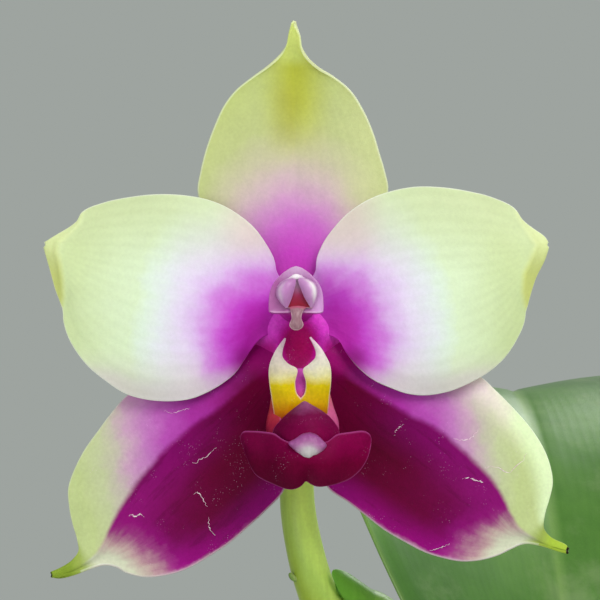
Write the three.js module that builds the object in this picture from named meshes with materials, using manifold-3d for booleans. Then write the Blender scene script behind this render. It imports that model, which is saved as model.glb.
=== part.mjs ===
// A moth orchid, Phalaenopsis violacea, in a plain clay pot, with one open bloom.
// Millimetres, +Z up. The origin is the centre of the pot's underside. The bloom faces -Y.

import * as THREE from "three";
import { mergeVertices } from "three/addons/utils/BufferGeometryUtils.js";
import Module from "manifold-3d";

const wasm = await Module();
wasm.setup();

// Driving dimensions

const GAP = 0.35; // left between pieces that touch
const POT = {
  height: 108,
  topRadius: 60,
  footRadius: 43,
  wall: 5.5,
  floor: 7,
  rimHeight: 20,
  rimStep: 3.5,
  rimFlare: 0.04, // the rim's inner wall leans out by this much for each millimetre up
  edge: 1.2, // rounding of its edges
  holeRadius: 5,
  holeRing: 25,
  holes: 3,
  segments: 40,
};
const BARK = {
  level: 91,
  crown: 4, // the bed stands this much higher round the stem
  chips: 42,
  length: 22,
  width: 14,
  depth: 9,
  smallest: 0.7, // each chip's sides are this much of these sizes, or more by up to spread
  spread: 0.6,
  tilt: 1.3, // radians between the most tilted chips
  inset: 5, // the chips' middles stay this far inside the pot's wall
  sunk: 3, // and lie this far below the level, or higher by up to loose
  loose: 3,
  bedDip: 6, // the bed under the chips is this much lower at the wall
  seed: 41,
};
const GOLDEN_ANGLE = Math.PI * (3 - Math.sqrt(5)); // spreads the chips evenly
const STEM = { foot: 80, top: 133, sides: 14 };
const BLOOM = { x: -55, y: -85, z: 225 }; // the middle of the bloom, level with its column
const TEPAL = { thick: 0.9, rows: 14, columns: 8, tipBias: 1.5 }; // tipBias over 1 packs the rows at the tip
const LEAF = {
  thick: 1.8,
  rows: 18,
  columns: 8,
  channel: 2, // how round the groove over the midrib is
  droop: 0.075, // how far the edges hang at the tip, as a part of the half width
  waves: 2.5, // along each edge
};
const SPIKE = {
  footRadius: 2.9,
  tipRadius: 2.1,
  joints: 5,
  firstJoint: 0.35, // how far past a joint the foot is, in parts of the way to the next
  flare: 1.1, // how much a sheath stands out at its joint
  sheathPart: 0.3, // and how much of the way to the next joint it covers
  tipPart: 0.03, // the last part of its length, which narrows to tipShare of its radius
  tipShare: 0.3,
  sides: 8,
  steps: 40,
};
const PEDICEL = { radius: 2.2, waist: 0.05, sides: 10, steps: 18 };
const ROOT = { radius: 2.9, tipRadius: 1.0, tipPart: 0.16, knobble: 0.25, knobs: 3.7, sides: 7, steps: 22 };

// Finishes

const finish = (color, roughness) => new THREE.MeshStandardMaterial({ color, roughness, metalness: 0 });
const clay = finish(0xb06a45, 0.9);
const bark = finish(0x6b4630, 0.95);
const leafGreen = finish(0x3f7a2e, 0.4);
const stemGreen = finish(0x7d9c45, 0.5);
const stalkGreen = finish(0x9ab84c, 0.45);
const rootSilver = finish(0xa7b39a, 0.8);
const petalCream = finish(0xdfe8b8, 0.5);
const sepalMagenta = finish(0x8a1070, 0.45);
const lipMagenta = finish(0x73004a, 0.35);
const columnPink = finish(0xc878be, 0.4);

// Numbers drawn at random, the same on every run

function randomFrom(seed) {
  let state = seed;
  return () => {
    state = (state * 1664525 + 1013904223) % 4294967296;
    return state / 4294967296;
  };
}

// Small curve helpers

const vector = (x, y, z) => new THREE.Vector3(x, y, z);

function curveThrough(points) {
  return new THREE.CatmullRomCurve3(points, false, "centripetal");
}

// A smooth value along a list of [place, value] stations

function valueAlong(stations, place) {
  const last = stations.length - 1;
  let i = 0;
  while (i < last - 1 && place > stations[i + 1][0]) i++;
  const [x0, y0] = stations[i];
  const [x1, y1] = stations[i + 1];
  const before = stations[Math.max(i - 1, 0)];
  const after = stations[Math.min(i + 2, last)];
  const span = x1 - x0;
  const slope0 = ((y1 - before[1]) / (x1 - before[0])) * span;
  const slope1 = ((after[1] - y0) / (after[0] - x0)) * span;
  const t = Math.min(Math.max((place - x0) / span, 0), 1);
  const ease = t * t * (3 - 2 * t);
  const bend = t * (1 - t) * (slope0 * (1 - t) - slope1 * t);
  return y0 + (y1 - y0) * ease + bend;
}

// Closed bodies

function closedBody(points, triangles) {
  const corner = (k) => points[triangles[k]];
  let volume = 0;
  for (let k = 0; k < triangles.length; k += 3) {
    volume += corner(k).dot(vector(0, 0, 0).crossVectors(corner(k + 1), corner(k + 2)));
  }
  if (volume < 0) triangles.reverse();
  const geometry = new THREE.BufferGeometry().setFromPoints(points);
  geometry.setIndex(triangles);
  return geometry;
}

// A skin over rings of points, closed at both ends

function skin(rings) {
  const sides = rings[0].length;
  const points = rings.flat();
  const triangles = [];
  for (let i = 0; i < rings.length - 1; i++) {
    for (let j = 0; j < sides; j++) {
      const a = i * sides + j;
      const b = i * sides + ((j + 1) % sides);
      triangles.push(a, b, b + sides, a, b + sides, a + sides);
    }
  }
  const middle = (ring) => ring.reduce((sum, p) => sum.add(p), vector(0, 0, 0)).divideScalar(sides);
  const foot = points.push(middle(rings[0])) - 1;
  const head = points.push(middle(rings[rings.length - 1])) - 1;
  const top = (rings.length - 1) * sides;
  for (let j = 0; j < sides; j++) {
    const next = (j + 1) % sides;
    triangles.push(foot, next, j, head, top + j, top + next);
  }
  return closedBody(points, triangles);
}

// A round rod along a curve; radiusAt gives its radius from foot (0) to tip (1)

function rod(path, radiusAt, steps, sides) {
  const { normals, binormals } = path.computeFrenetFrames(steps, false);
  const rings = [];
  for (let i = 0; i <= steps; i++) {
    const centre = path.getPointAt(i / steps);
    const radius = radiusAt(i / steps);
    const ring = [];
    for (let j = 0; j < sides; j++) {
      const angle = (j / sides) * 2 * Math.PI;
      const out = normals[i].clone().multiplyScalar(Math.cos(angle) * radius);
      ring.push(out.addScaledVector(binormals[i], Math.sin(angle) * radius).add(centre));
    }
    rings.push(ring);
  }
  return skin(rings);
}

// A thin sheet round a middle surface: at(u, v) runs from base (u 0) to tip (u 1) and from left (v -1)
// to right (v 1). Its thickness is measured across the surface, or along depth where that is given.

function sheet(at, rows, columns, thick, depth = null) {
  const grid = [];
  for (let i = 0; i <= rows; i++) {
    for (let j = 0; j <= columns; j++) grid.push(at(i / rows, (2 * j) / columns - 1));
  }
  const wide = columns + 1;
  const spot = (i, j) => grid[Math.min(Math.max(i, 0), rows) * wide + Math.min(Math.max(j, 0), columns)];
  const front = [];
  const back = [];
  for (let i = 0; i <= rows; i++) {
    for (let j = 0; j <= columns; j++) {
      const up = spot(i + 1, j).clone().sub(spot(i - 1, j));
      const across = spot(i, j + 1).clone().sub(spot(i, j - 1));
      const out = (depth ? depth.clone() : up.cross(across).normalize()).multiplyScalar(thick / 2);
      front.push(spot(i, j).clone().add(out));
      back.push(spot(i, j).clone().sub(out));
    }
  }
  const triangles = [];
  const other = grid.length;
  for (let i = 0; i < rows; i++) {
    for (let j = 0; j < columns; j++) {
      const a = i * wide + j;
      const b = a + wide;
      triangles.push(a, b + 1, b, a, a + 1, b + 1);
      triangles.push(a + other, b + other, b + 1 + other, a + other, b + 1 + other, a + 1 + other);
    }
  }
  const edge = [];
  for (let j = 0; j < columns; j++) edge.push(j);
  for (let i = 0; i < rows; i++) edge.push(i * wide + columns);
  for (let j = columns; j > 0; j--) edge.push(rows * wide + j);
  for (let i = rows; i > 0; i--) edge.push(i * wide);
  edge.forEach((a, k) => {
    const b = edge[(k + 1) % edge.length];
    triangles.push(b, a, a + other, b, a + other, b + other);
  });
  return closedBody([...front, ...back], triangles);
}

// Cutting and joining

function solid(geometry) {
  const bare = new THREE.BufferGeometry().setAttribute("position", geometry.attributes.position);
  if (geometry.index) bare.setIndex(geometry.index);
  const merged = mergeVertices(bare, 1e-4);
  const corners = merged.index.array;
  const kept = [];
  for (let k = 0; k < corners.length; k += 3) {
    const [a, b, c] = corners.slice(k, k + 3);
    if (a !== b && b !== c && c !== a) kept.push(a, b, c);
  }
  const vertProperties = new Float32Array(merged.attributes.position.array);
  return new wasm.Manifold(new wasm.Mesh({ numProp: 3, vertProperties, triVerts: new Uint32Array(kept) }));
}

const largest = (body) => body.decompose().sort((a, b) => b.volume() - a.volume())[0];
const joined = (bodies) => bodies.reduce((all, body) => all.add(body));
const cutBy = (body, tools) => largest(tools.reduce((rest, tool) => rest.subtract(tool), body));

function geometryOf(body) {
  const { numProp, vertProperties, triVerts } = body.getMesh();
  const positions = new Float32Array((vertProperties.length / numProp) * 3);
  for (let i = 0; i < positions.length / 3; i++) {
    positions.set(vertProperties.subarray(i * numProp, i * numProp + 3), i * 3);
  }
  const geometry = new THREE.BufferGeometry();
  geometry.setAttribute("position", new THREE.BufferAttribute(positions, 3));
  geometry.setIndex(new THREE.BufferAttribute(triVerts, 1));
  geometry.computeVertexNormals();
  return geometry;
}

const plant = new THREE.Group();

function place(name, body, material) {
  const mesh = new THREE.Mesh(geometryOf(body), material);
  mesh.name = name;
  plant.add(mesh);
}

// A lathe turned about the pot's axis, from [radius, height] points

function turned(profile, segments) {
  const outline = profile.map(([radius, height]) => new THREE.Vector2(radius, height));
  return new THREE.LatheGeometry(outline, segments).rotateX(Math.PI / 2);
}

// Pot

const rimFoot = POT.height - POT.rimHeight;
const bodyTop = POT.topRadius - POT.rimStep;
const outerAt = (z) => POT.footRadius + ((bodyTop - POT.footRadius) * z) / rimFoot;
const innerAt = (z) => (z < rimFoot ? outerAt(z) : bodyTop + (z - rimFoot) * POT.rimFlare) - POT.wall;

function potBody() {
  const profile = [
    [0, 0],
    [POT.footRadius - POT.edge, 0],
    [POT.footRadius, POT.edge],
    [outerAt(rimFoot), rimFoot],
    [POT.topRadius - POT.edge, rimFoot + POT.edge / 2],
    [POT.topRadius - POT.edge / 3, rimFoot + POT.edge * 1.5],
    [POT.topRadius, POT.height - POT.edge],
    [POT.topRadius - POT.edge, POT.height],
    [innerAt(POT.height) + POT.edge, POT.height],
    [innerAt(POT.height), POT.height - POT.edge],
    [innerAt(rimFoot), rimFoot],
    [innerAt(POT.floor), POT.floor],
    [0, POT.floor],
  ];
  let body = solid(turned(profile, POT.segments));
  for (let k = 0; k < POT.holes; k++) {
    const angle = ((k + 0.5) / POT.holes) * 2 * Math.PI;
    const drill = new THREE.CylinderGeometry(POT.holeRadius, POT.holeRadius, 3 * POT.floor, 14);
    drill.rotateX(Math.PI / 2);
    drill.translate(Math.cos(angle) * POT.holeRing, Math.sin(angle) * POT.holeRing, POT.floor / 2);
    body = body.subtract(solid(drill));
  }
  return body;
}

// Stem: short and upright, ringed by the sheaths of its leaves

function stemBody(grow) {
  const profile = [
    [0, STEM.foot - grow],
    [4.6 + grow, STEM.foot - grow],
    [6.4 + grow, 94],
    [7.8 + grow, 102],
    [7.0 + grow, 105],
    [7.9 + grow, 110],
    [6.8 + grow, 112],
    [7.4 + grow, 118],
    [6.2 + grow, 120],
    [6.4 + grow, 125],
    [4.2 + grow, 129],
    [2.2 + grow, STEM.top + grow],
    [0, STEM.top + grow],
  ];
  return solid(turned(profile, STEM.sides));
}

const stem = stemBody(0);
const stemSeat = stemBody(GAP);

// Leaves: broad and fleshy, in two ranks, channelled where they clasp the stem

const LEAF_WIDTH = [[0, 0.15], [0.07, 0.17], [0.2, 0.44], [0.36, 0.78], [0.52, 0.97], [0.66, 1],
  [0.79, 0.92], [0.89, 0.72], [0.96, 0.43], [1, 0.09]];
const LEAF_FOLD = [[0, 62], [0.1, 52], [0.3, 24], [0.6, 13], [1, 9]];

// heading is the way the leaf points, in degrees from +X; path is its midrib as [out, up] points

const LEAVES = [
  {
    name: "leaf_1", heading: -84, halfWidth: 39, sway: 16, wave: 1.6, phase: 0.4,
    path: [[4, 108.5], [18, 115], [45, 125], [80, 126], [115, 110], [142, 84], [160, 55]],
  },
  {
    name: "leaf_2", heading: 104, halfWidth: 41, sway: -12, wave: 1.8, phase: 2.1,
    path: [[4, 112], [18, 119], [46, 132], [82, 137], [120, 125], [150, 101], [170, 72]],
  },
  {
    name: "leaf_3", heading: -72, halfWidth: 42, sway: -10, wave: 1.7, phase: 3.3,
    path: [[4, 116], [16, 125], [42, 143], [78, 155], [114, 150], [144, 132], [163, 110]],
  },
  {
    name: "leaf_4", heading: 118, halfWidth: 51, sway: -53, wave: 2.3, phase: 5.5,
    path: [[3.5, 119], [11, 129.5], [22, 150], [35, 173], [54, 192.5], [82, 204.5], [117, 204]],
  },
  {
    name: "leaf_5", heading: -95, halfWidth: 21, sway: 5, wave: 0.8, phase: 1.0,
    path: [[3, 123], [6, 132], [10, 146], [17, 160], [28, 171], [42, 176]],
  },
];

function leafSurface({ heading, halfWidth, sway, wave, phase, path }) {
  const angle = THREE.MathUtils.degToRad(heading);
  const ahead = vector(Math.cos(angle), Math.sin(angle), 0);
  const side = vector(-Math.sin(angle), Math.cos(angle), 0);
  const midrib = curveThrough(path.map(([out, up]) => vector(out, 0, up)));
  return (u, v) => {
    const centre = midrib.getPointAt(u);
    const way = midrib.getTangentAt(u);
    const width = valueAlong(LEAF_WIDTH, u);
    const reach = halfWidth * width * v;
    const fold = THREE.MathUtils.degToRad(valueAlong(LEAF_FOLD, u));
    const slope = (Math.hypot(reach, LEAF.channel) - LEAF.channel) * Math.sin(fold);
    const droop = LEAF.droop * halfWidth * u * width;
    const ripple = wave * width * Math.sin(2 * Math.PI * LEAF.waves * u + phase + v);
    const lift = slope + (ripple - droop) * v * v;
    const out = centre.x - way.z * lift;
    const up = centre.z + way.x * lift;
    return ahead.clone().multiplyScalar(out)
      .addScaledVector(side, reach * Math.cos(fold) + sway * u * u).setZ(up);
  };
}

function leafBody(leaf) {
  return cutBy(solid(sheet(leafSurface(leaf), LEAF.rows, LEAF.columns, LEAF.thick)), [stemSeat]);
}

// Aerial roots: thick, from the foot of the stem into the bark or over the rim

const ROOTS = [
  { name: "root_1", path: [[0, 0, 100], [-14, -7, 101.5], [-28, -14, 102], [-38, -21, 95], [-41, -24, 84]] },
  { name: "root_2", path: [[0, 0, 98], [13, -6, 101.5], [27, -9, 103], [37, -17, 97], [40, -21, 85]] },
  { name: "root_3", path: [[0, 0, 98], [-5, 13, 101], [-13, 25, 102.5], [-18, 37, 97], [-19, 41, 86]] },
  { name: "root_4", path: [[0, 0, 100], [12, 9, 103], [20, 22, 103], [31, 29, 95], [34, 31, 85]] },
  {
    name: "root_5",
    path: [[0, 0, 105], [-16, 3, 108], [-34, 9, 111], [-50, 14, 112.5], [-61, 16, 111.2],
      [-67.5, 18, 103], [-67, 21, 88], [-62, 27, 72], [-60, 30, 58]],
  },
  {
    name: "root_6",
    path: [[0, 0, 95], [5, -12, 100], [12, -25, 102.5], [13, -38, 98], [10, -43, 86]],
  },
];

function rootBody({ path }, grow) {
  const route = curveThrough(path.map((p) => vector(...p)));
  const radiusAt = (t) => {
    const full = Math.min(1, (1 - t) / ROOT.tipPart);
    const body = ROOT.tipRadius + (ROOT.radius - ROOT.tipRadius) * Math.sqrt(full);
    return body + ROOT.knobble * Math.sin(2 * Math.PI * ROOT.knobs * t) + grow;
  };
  return solid(rod(route, radiusAt, ROOT.steps, ROOT.sides));
}

// Bark: a bed of chips that fills the pot, with plain holes for the stem and the roots

function chipBody(random, centre) {
  const share = () => BARK.smallest + BARK.spread * random();
  const box = new THREE.BoxGeometry(BARK.length * share(), BARK.width * share(), BARK.depth * share());
  box.deleteAttribute("normal");
  box.deleteAttribute("uv");
  const chip = mergeVertices(box);
  const corners = chip.attributes.position;
  for (let i = 0; i < corners.count; i++) {
    corners.setXYZ(i, corners.getX(i) * share(), corners.getY(i) * share(), corners.getZ(i) * share());
  }
  const lean = () => (random() - 0.5) * BARK.tilt;
  chip.rotateX(lean()).rotateY(lean()).rotateZ(random() * 2 * Math.PI);
  return solid(chip.translate(centre.x, centre.y, centre.z));
}

function barkBody(holes) {
  const inside = (z) => [innerAt(z) - GAP, z];
  const core = turned([[0, POT.floor + GAP], inside(POT.floor + GAP), inside(BARK.level - BARK.bedDip),
    [0, BARK.level]], POT.segments);
  const limit = turned([[0, POT.floor + GAP], inside(POT.floor + GAP), inside(rimFoot),
    inside(POT.height), [0, POT.height]], POT.segments);
  const random = randomFrom(BARK.seed);
  const pieces = [solid(core)];
  const reach = innerAt(BARK.level) - BARK.inset;
  for (let k = 0; k < BARK.chips; k++) {
    const out = reach * Math.sqrt((k + 0.5) / BARK.chips);
    const angle = k * GOLDEN_ANGLE;
    const crown = BARK.crown * (1 - out / reach);
    const height = BARK.level - BARK.sunk + crown + BARK.loose * random();
    pieces.push(chipBody(random, vector(Math.cos(angle) * out, Math.sin(angle) * out, height)));
  }
  return cutBy(joined(pieces).intersect(solid(limit)), holes);
}

// Places in the bloom: right and up as its front shows them, and forward out of it

const FORWARD = vector(0, -1, 0);
const inBloom = (right, up, forward) => vector(BLOOM.x + right, BLOOM.y - forward, BLOOM.z + up);
const bloomCurve = (points) => curveThrough(points.map((p) => inBloom(...p)));

// A petal or sepal between its two edges and its midline, folded by crease (0 round, 1 sharp)

function tepalSurface({ left, middle, right, crease = 0, swell = () => 0 }) {
  const edges = [left, middle, right].map(bloomCurve);
  return (u, v) => {
    const [l, m, r] = edges.map((edge) => edge.getPointAt(u));
    const round = l.clone().multiplyScalar((v * (v - 1)) / 2)
      .addScaledVector(m, 1 - v * v).addScaledVector(r, (v * (v + 1)) / 2);
    const folded = m.clone().lerp(v < 0 ? l : r, Math.abs(v));
    return round.lerp(folded, crease).addScaledVector(FORWARD, swell(u, v));
  };
}

const DORSAL_SEPAL = {
  left: [[-2.2, 0.2, -1.4], [-6.5, 4.8, -1.9], [-10.8, 9, -2.3], [-12.4, 13, -2.4], [-12.1, 15.4, -2.4],
    [-11.4, 18.2, -2.3], [-10.3, 21.2, -2.1], [-9.2, 23.5, -1.9], [-7.8, 25.3, -1.7], [-5.9, 26.8, -1.4],
    [-3.8, 28.2, -0.9], [-2.4, 29.4, -0.3], [-1.7, 30.5, 0.3], [-1.3, 31.9, 1], [-0.95, 33.1, 1.7]],
  middle: [[-0.5, 0.2, -1.5], [-0.6, 9, -2.9], [-0.7, 16, -3.6], [-0.7, 23, -3.1], [-0.75, 28.5, -1.5],
    [-0.8, 31, 0.5], [-0.8, 33.3, 1.7]],
  right: [[1.2, 0.2, -1.4], [5, 4.8, -1.9], [9, 9, -2.3], [10.7, 13.2, -2.4], [10.3, 15.6, -2.4],
    [9.7, 17.6, -2.3], [8.9, 20.2, -2.2], [7.7, 22.9, -2], [6.1, 25.3, -1.7], [4.1, 26.9, -1.4],
    [2.4, 27.8, -1], [1.1, 28.8, -0.5], [0.3, 30, 0.2], [0.05, 31.6, 0.8], [-0.65, 33.1, 1.7]],
  crease: 0.12,
};
const PETAL_LEFT = {
  left: [[-2.2, 2.3, -0.6], [-2.9, 3.6, -0.2], [-3.1, 4.9, 0], [-4.1, 6.8, 0.1], [-5.6, 8.8, 0.1],
    [-7.6, 10.4, 0.05], [-9.8, 11.6, 0], [-12.7, 12.4, -0.1], [-16.9, 12.7, -0.1], [-20.9, 12.3, -0.3],
    [-23.6, 11.7, -0.4], [-26, 10.7, -0.4], [-26.8, 9.4, 0], [-29, 7.9, 0.4], [-30.7, 6.8, 0.6]],
  middle: [[-2.4, -1, -0.4], [-5.5, -0.8, 0.6], [-9, -0.3, 1.4], [-16, 0.8, 2.1], [-23, 2.6, 1.6],
    [-28, 5, 1], [-30.55, 6.6, 0.6]],
  right: [[-2.8, -3.9, -0.4], [-4.7, -4.6, 0.1], [-6.6, -7.1, 0.5], [-7.7, -8.7, 0.7], [-9, -9.8, 0.8],
    [-10.8, -10.9, 0.9], [-13, -11.8, 1], [-15.5, -12.1, 1], [-18.4, -11.9, 1], [-20.9, -11.2, 0.9],
    [-23.5, -9.5, 0.8], [-25.6, -7.7, 0.6], [-27.5, -5, 0.4], [-28.3, -2.8, 0.3], [-28.5, -0.9, 0.4],
    [-29.3, 1.2, 0.6], [-30.1, 4.1, 0.7], [-30.7, 6.4, 0.6]],
};
const PETAL_RIGHT = {
  left: [[2, -3.8, -0.4], [4.6, -4.8, 0.1], [5.5, -6.3, 0.4], [6.4, -7.5, 0.6], [7.6, -8.7, 0.7],
    [9, -9.7, 0.8], [10.8, -10.5, 0.9], [12.8, -11.2, 1], [15.1, -11.4, 1], [17.9, -10.9, 1],
    [20.3, -9.9, 0.9], [22.9, -8.4, 0.7], [24.7, -6.7, 0.6], [26, -4.7, 0.4], [26.8, -2.9, 0.3],
    [27.1, -1.2, 0.3], [27.6, 0.6, 0.5], [28.3, 2.7, 0.6], [29.3, 4.8, 0.7], [29.8, 6.4, 0.6]],
  middle: [[1.6, -1, -0.4], [5, -0.6, 0.6], [9, 0.2, 1.4], [16, 1.2, 2.1], [23, 2.8, 1.6], [27.4, 5, 1],
    [29.65, 6.6, 0.6]],
  right: [[1.2, 2.3, -0.6], [1.9, 3.6, -0.2], [2, 5, 0], [2.8, 6.9, 0.1], [4.1, 8.7, 0.1],
    [5.6, 10.3, 0.05], [7.9, 11.9, 0], [10.7, 13, -0.1], [13.9, 13.6, -0.1], [17.3, 13.5, -0.2],
    [20.5, 13, -0.3], [22.9, 12.4, -0.4], [25.7, 11.1, -0.4], [26.6, 9.7, 0], [27.8, 8.7, 0.2],
    [29.3, 7.6, 0.5], [29.8, 6.8, 0.6]],
};

// The inner half of each lateral sepal dips between the fold and its inner edge

const LATERAL_SEPAL_LEFT = {
  left: [[-1.8, -3.2, -1.5], [-10, -6.6, -1.8], [-16, -8.8, -1.9], [-20.6, -11.3, -1.9],
    [-22.6, -13.4, -1.8], [-24.4, -15.8, -1.7], [-26.1, -18.2, -1.6], [-27.4, -20.8, -1.5],
    [-28, -22.8, -1.4], [-27.9, -24.7, -1.3], [-27.5, -26.8, -1.2], [-26.9, -28.6, -1.1],
    [-26.75, -30.05, -0.9], [-27.3, -31.2, -0.5], [-28.7, -32.2, 0], [-29.9, -32.7, 0.4]],
  middle: [[-1.2, -6, -1], [-4.8, -9, -0.6], [-8.5, -12, -0.4], [-12.4, -14.7, -0.3],
    [-15.5, -17.3, -0.3], [-18, -19.9, -0.3], [-20, -22.3, -0.4], [-22.1, -25.8, -0.6],
    [-24.6, -30.4, -0.8], [-27.2, -32.2, -0.3], [-29.8, -32.95, 0.4]],
  right: [[-0.9, -8.6, -0.7], [-1, -15, -1.2], [-1.4, -20, -1.3], [-1.9, -22.9, -1.4],
    [-4.3, -25.6, -1.4], [-6.4, -27.5, -1.4], [-8.5, -29.3, -1.4], [-10.6, -30.7, -1.4],
    [-12.6, -31.9, -1.3], [-14.6, -32.8, -1.3], [-16.8, -33.3, -1.2], [-18.8, -33.4, -1.1],
    [-20.9, -32.9, -1], [-22.1, -32.2, -0.9], [-23.5, -31.9, -0.8], [-25.2, -32.3, -0.5],
    [-27.1, -33, -0.1], [-28.9, -33.4, 0.2], [-29.9, -33.2, 0.4]],
  crease: 0.45,
  swell: (u, v) => (v > 0 ? -4.4 * v * (1 - v) * Math.sin(Math.PI * u) : 0),
};
const LATERAL_SEPAL_RIGHT = {
  left: [[1, -8.6, -0.7], [1.6, -15, -1.2], [2.5, -20, -1.3], [3.3, -22.6, -1.4], [5.8, -24.4, -1.4],
    [7.9, -26, -1.4], [10.1, -27.7, -1.4], [12.5, -29.1, -1.3], [15, -30.4, -1.3], [17.2, -31.1, -1.2],
    [19.3, -31.5, -1.1], [21.5, -31.4, -1], [23.8, -30.8, -0.9], [25.4, -30, -0.8], [27, -29.3, -0.6],
    [28.9, -29.5, -0.2], [30.8, -30.1, 0.2], [32.2, -30.3, 0.4]],
  middle: [[1.2, -6, -1], [4.4, -8.6, -0.6], [7.6, -10.6, -0.4], [12.2, -13.2, -0.3],
    [16.1, -15.2, -0.3], [19, -17.5, -0.3], [21.6, -19.9, -0.4], [23.8, -22.6, -0.5],
    [26.4, -27.2, -0.7], [29.2, -29, -0.3], [32.1, -30.05, 0.4]],
  right: [[1.9, -3.2, -1.5], [10, -6, -1.8], [16, -7.2, -1.9], [21.7, -9.2, -1.9], [23.5, -10.8, -1.8],
    [25.7, -13, -1.7], [27.8, -15.4, -1.6], [29.4, -17.9, -1.5], [30.2, -20, -1.4], [30.5, -22, -1.3],
    [30.1, -23.9, -1.2], [29.5, -25.8, -1.1], [29.3, -27.4, -1], [30.2, -28.6, -0.6], [31.9, -29.4, 0],
    [32.3, -29.8, 0.4]],
  crease: 0.45,
  swell: (u, v) => (v < 0 ? -4.4 * -v * (1 + v) * Math.sin(Math.PI * u) : 0),
};

function tepalBody(tepal, thick = TEPAL.thick, rows = TEPAL.rows, columns = TEPAL.columns) {
  const { tipBias = TEPAL.tipBias } = tepal;
  const at = tepalSurface(tepal);
  return solid(sheet((u, v) => at(1 - Math.pow(1 - u, tipBias), v), rows, columns, thick, FORWARD));
}

// Column: it stands out of the middle of the bloom, hooded over the anther, with a foot that carries the lip

const COLUMN_MIDDLE = -0.45;

function columnBody(grow) {
  // forward, half width, lowest, highest
  const stations = [[-3.0, 2.3, -2.4, 2.4], [-1.0, 2.6, -3.0, 2.7], [1.5, 2.5, -2.6, 2.7],
    [4.0, 2.6, -2.0, 3.1], [6.0, 3.1, -1.7, 3.7], [7.6, 3.5, -1.6, 4.1], [8.5, 3.3, -1.5, 3.9]];
  const sides = 14;
  const rings = stations.map(([forward, half, low, high], i) => {
    const end = i === 0 ? -grow : i === stations.length - 1 ? grow : 0;
    const ring = [];
    for (let j = 0; j < sides; j++) {
      const angle = (j / sides) * 2 * Math.PI;
      const rise = Math.sin(angle);
      const up = rise > 0 ? (high + grow) * rise : (low - grow) * Math.pow(-rise, 0.6);
      ring.push(inBloom(COLUMN_MIDDLE + (half + grow) * Math.cos(angle), up, forward + end));
    }
    return ring;
  });
  const foot = bloomCurve([[-0.3, -0.5, -1.2], [-0.2, -4, -1.4], [0, -7.5, -0.6], [0.1, -10.2, 0.9]]);
  return solid(skin(rings)).add(solid(rod(foot, () => 1.7 + grow, 7, 10)));
}

const column = columnBody(0);
const columnSeat = columnBody(GAP);

// Squashed ball in the bloom

function ball(right, up, forward, halfWide, halfHigh, halfDeep) {
  const shape = new THREE.SphereGeometry(1, 10, 6).scale(halfWide, halfDeep, halfHigh);
  const { x, y, z } = inBloom(right, up, forward);
  return solid(shape.translate(x, y, z));
}

// Anther cap: two pollen bulges under one brow, and a beak that ends in a small spoon

function antherBody() {
  const beak = {
    left: [[-1.5, 0.3, 9.3], [-1.2, -1.4, 9.6], [-0.95, -2.4, 9.4], [-1.3, -3.3, 9.1], [-0.8, -3.8, 9.0]],
    middle: [[-0.45, 0.4, 9.5], [-0.45, -1.4, 9.8], [-0.45, -2.4, 9.6], [-0.45, -3.3, 9.3],
      [-0.45, -3.9, 9.0]],
    right: [[0.6, 0.3, 9.3], [0.3, -1.4, 9.6], [0.05, -2.4, 9.4], [0.4, -3.3, 9.1], [-0.1, -3.8, 9.0]],
  };
  const body = joined([
    ball(-1.75, 1.1, 9.1, 1.05, 1.7, 0.9),
    ball(0.95, 1.1, 9.1, 1.05, 1.7, 0.9),
    ball(-0.4, 2.3, 9.0, 1.7, 0.9, 0.8),
    ball(-0.4, 0.4, 9.0, 1.5, 1.0, 0.6),
    tepalBody(beak, 0.7, 8, 4),
  ]);
  return cutBy(body, [columnSeat]);
}

// Lip: two horned side lobes over a middle lobe with a hood, two wings and a pale boss

const SIDE_LOBE_LEFT = {
  left: [[-2.9, -14.0, 3.6], [-3.1, -11.6, 4.6], [-3.6, -8.8, 5.4], [-3.1, -6.6, 5.6], [-1.95, -4.6, 5.0]],
  middle: [[-1.5, -14.0, 4.2], [-1.7, -11.4, 5.2], [-2.0, -8.9, 5.9], [-2.4, -6.8, 5.8],
    [-1.8, -4.5, 5.0]],
  right: [[-0.1, -14.0, 3.6], [-0.4, -11.0, 4.6], [-0.5, -8.3, 5.3], [-1.8, -7.2, 5.5],
    [-1.65, -4.6, 5.0]],
};
const SIDE_LOBE_RIGHT = {
  left: [[0.2, -14.0, 3.6], [0.6, -11.0, 4.6], [0.4, -8.4, 5.3], [1.7, -7.0, 5.5], [1.1, -4.6, 5.0]],
  middle: [[1.8, -14.0, 4.2], [2.0, -11.4, 5.2], [2.1, -8.9, 5.9], [2.3, -6.6, 5.8], [1.25, -4.5, 5.0]],
  right: [[3.3, -14.0, 3.6], [3.5, -11.6, 4.6], [3.6, -8.8, 5.4], [2.9, -6.4, 5.6], [1.4, -4.6, 5.0]],
};
const HOOD = {
  left: [[0.42, -12.05, 4.6], [-0.53, -12.76, 5.0], [-1.55, -13.56, 5.2], [-2.36, -14.36, 5.4],
    [-3.06, -15.25, 5.8], [-3.1, -17.2, 6.6]],
  middle: [[0.58, -11.98, 5.0], [0.72, -13.1, 6.8], [0.85, -14.5, 7.9], [0.9, -15.9, 8.6],
    [0.92, -17.4, 8.9]],
  right: [[0.75, -12.05, 4.6], [1.89, -12.76, 5.0], [3.11, -13.56, 5.2], [3.91, -14.36, 5.4],
    [4.51, -15.34, 5.8], [4.5, -17.2, 6.6]],
};
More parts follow.
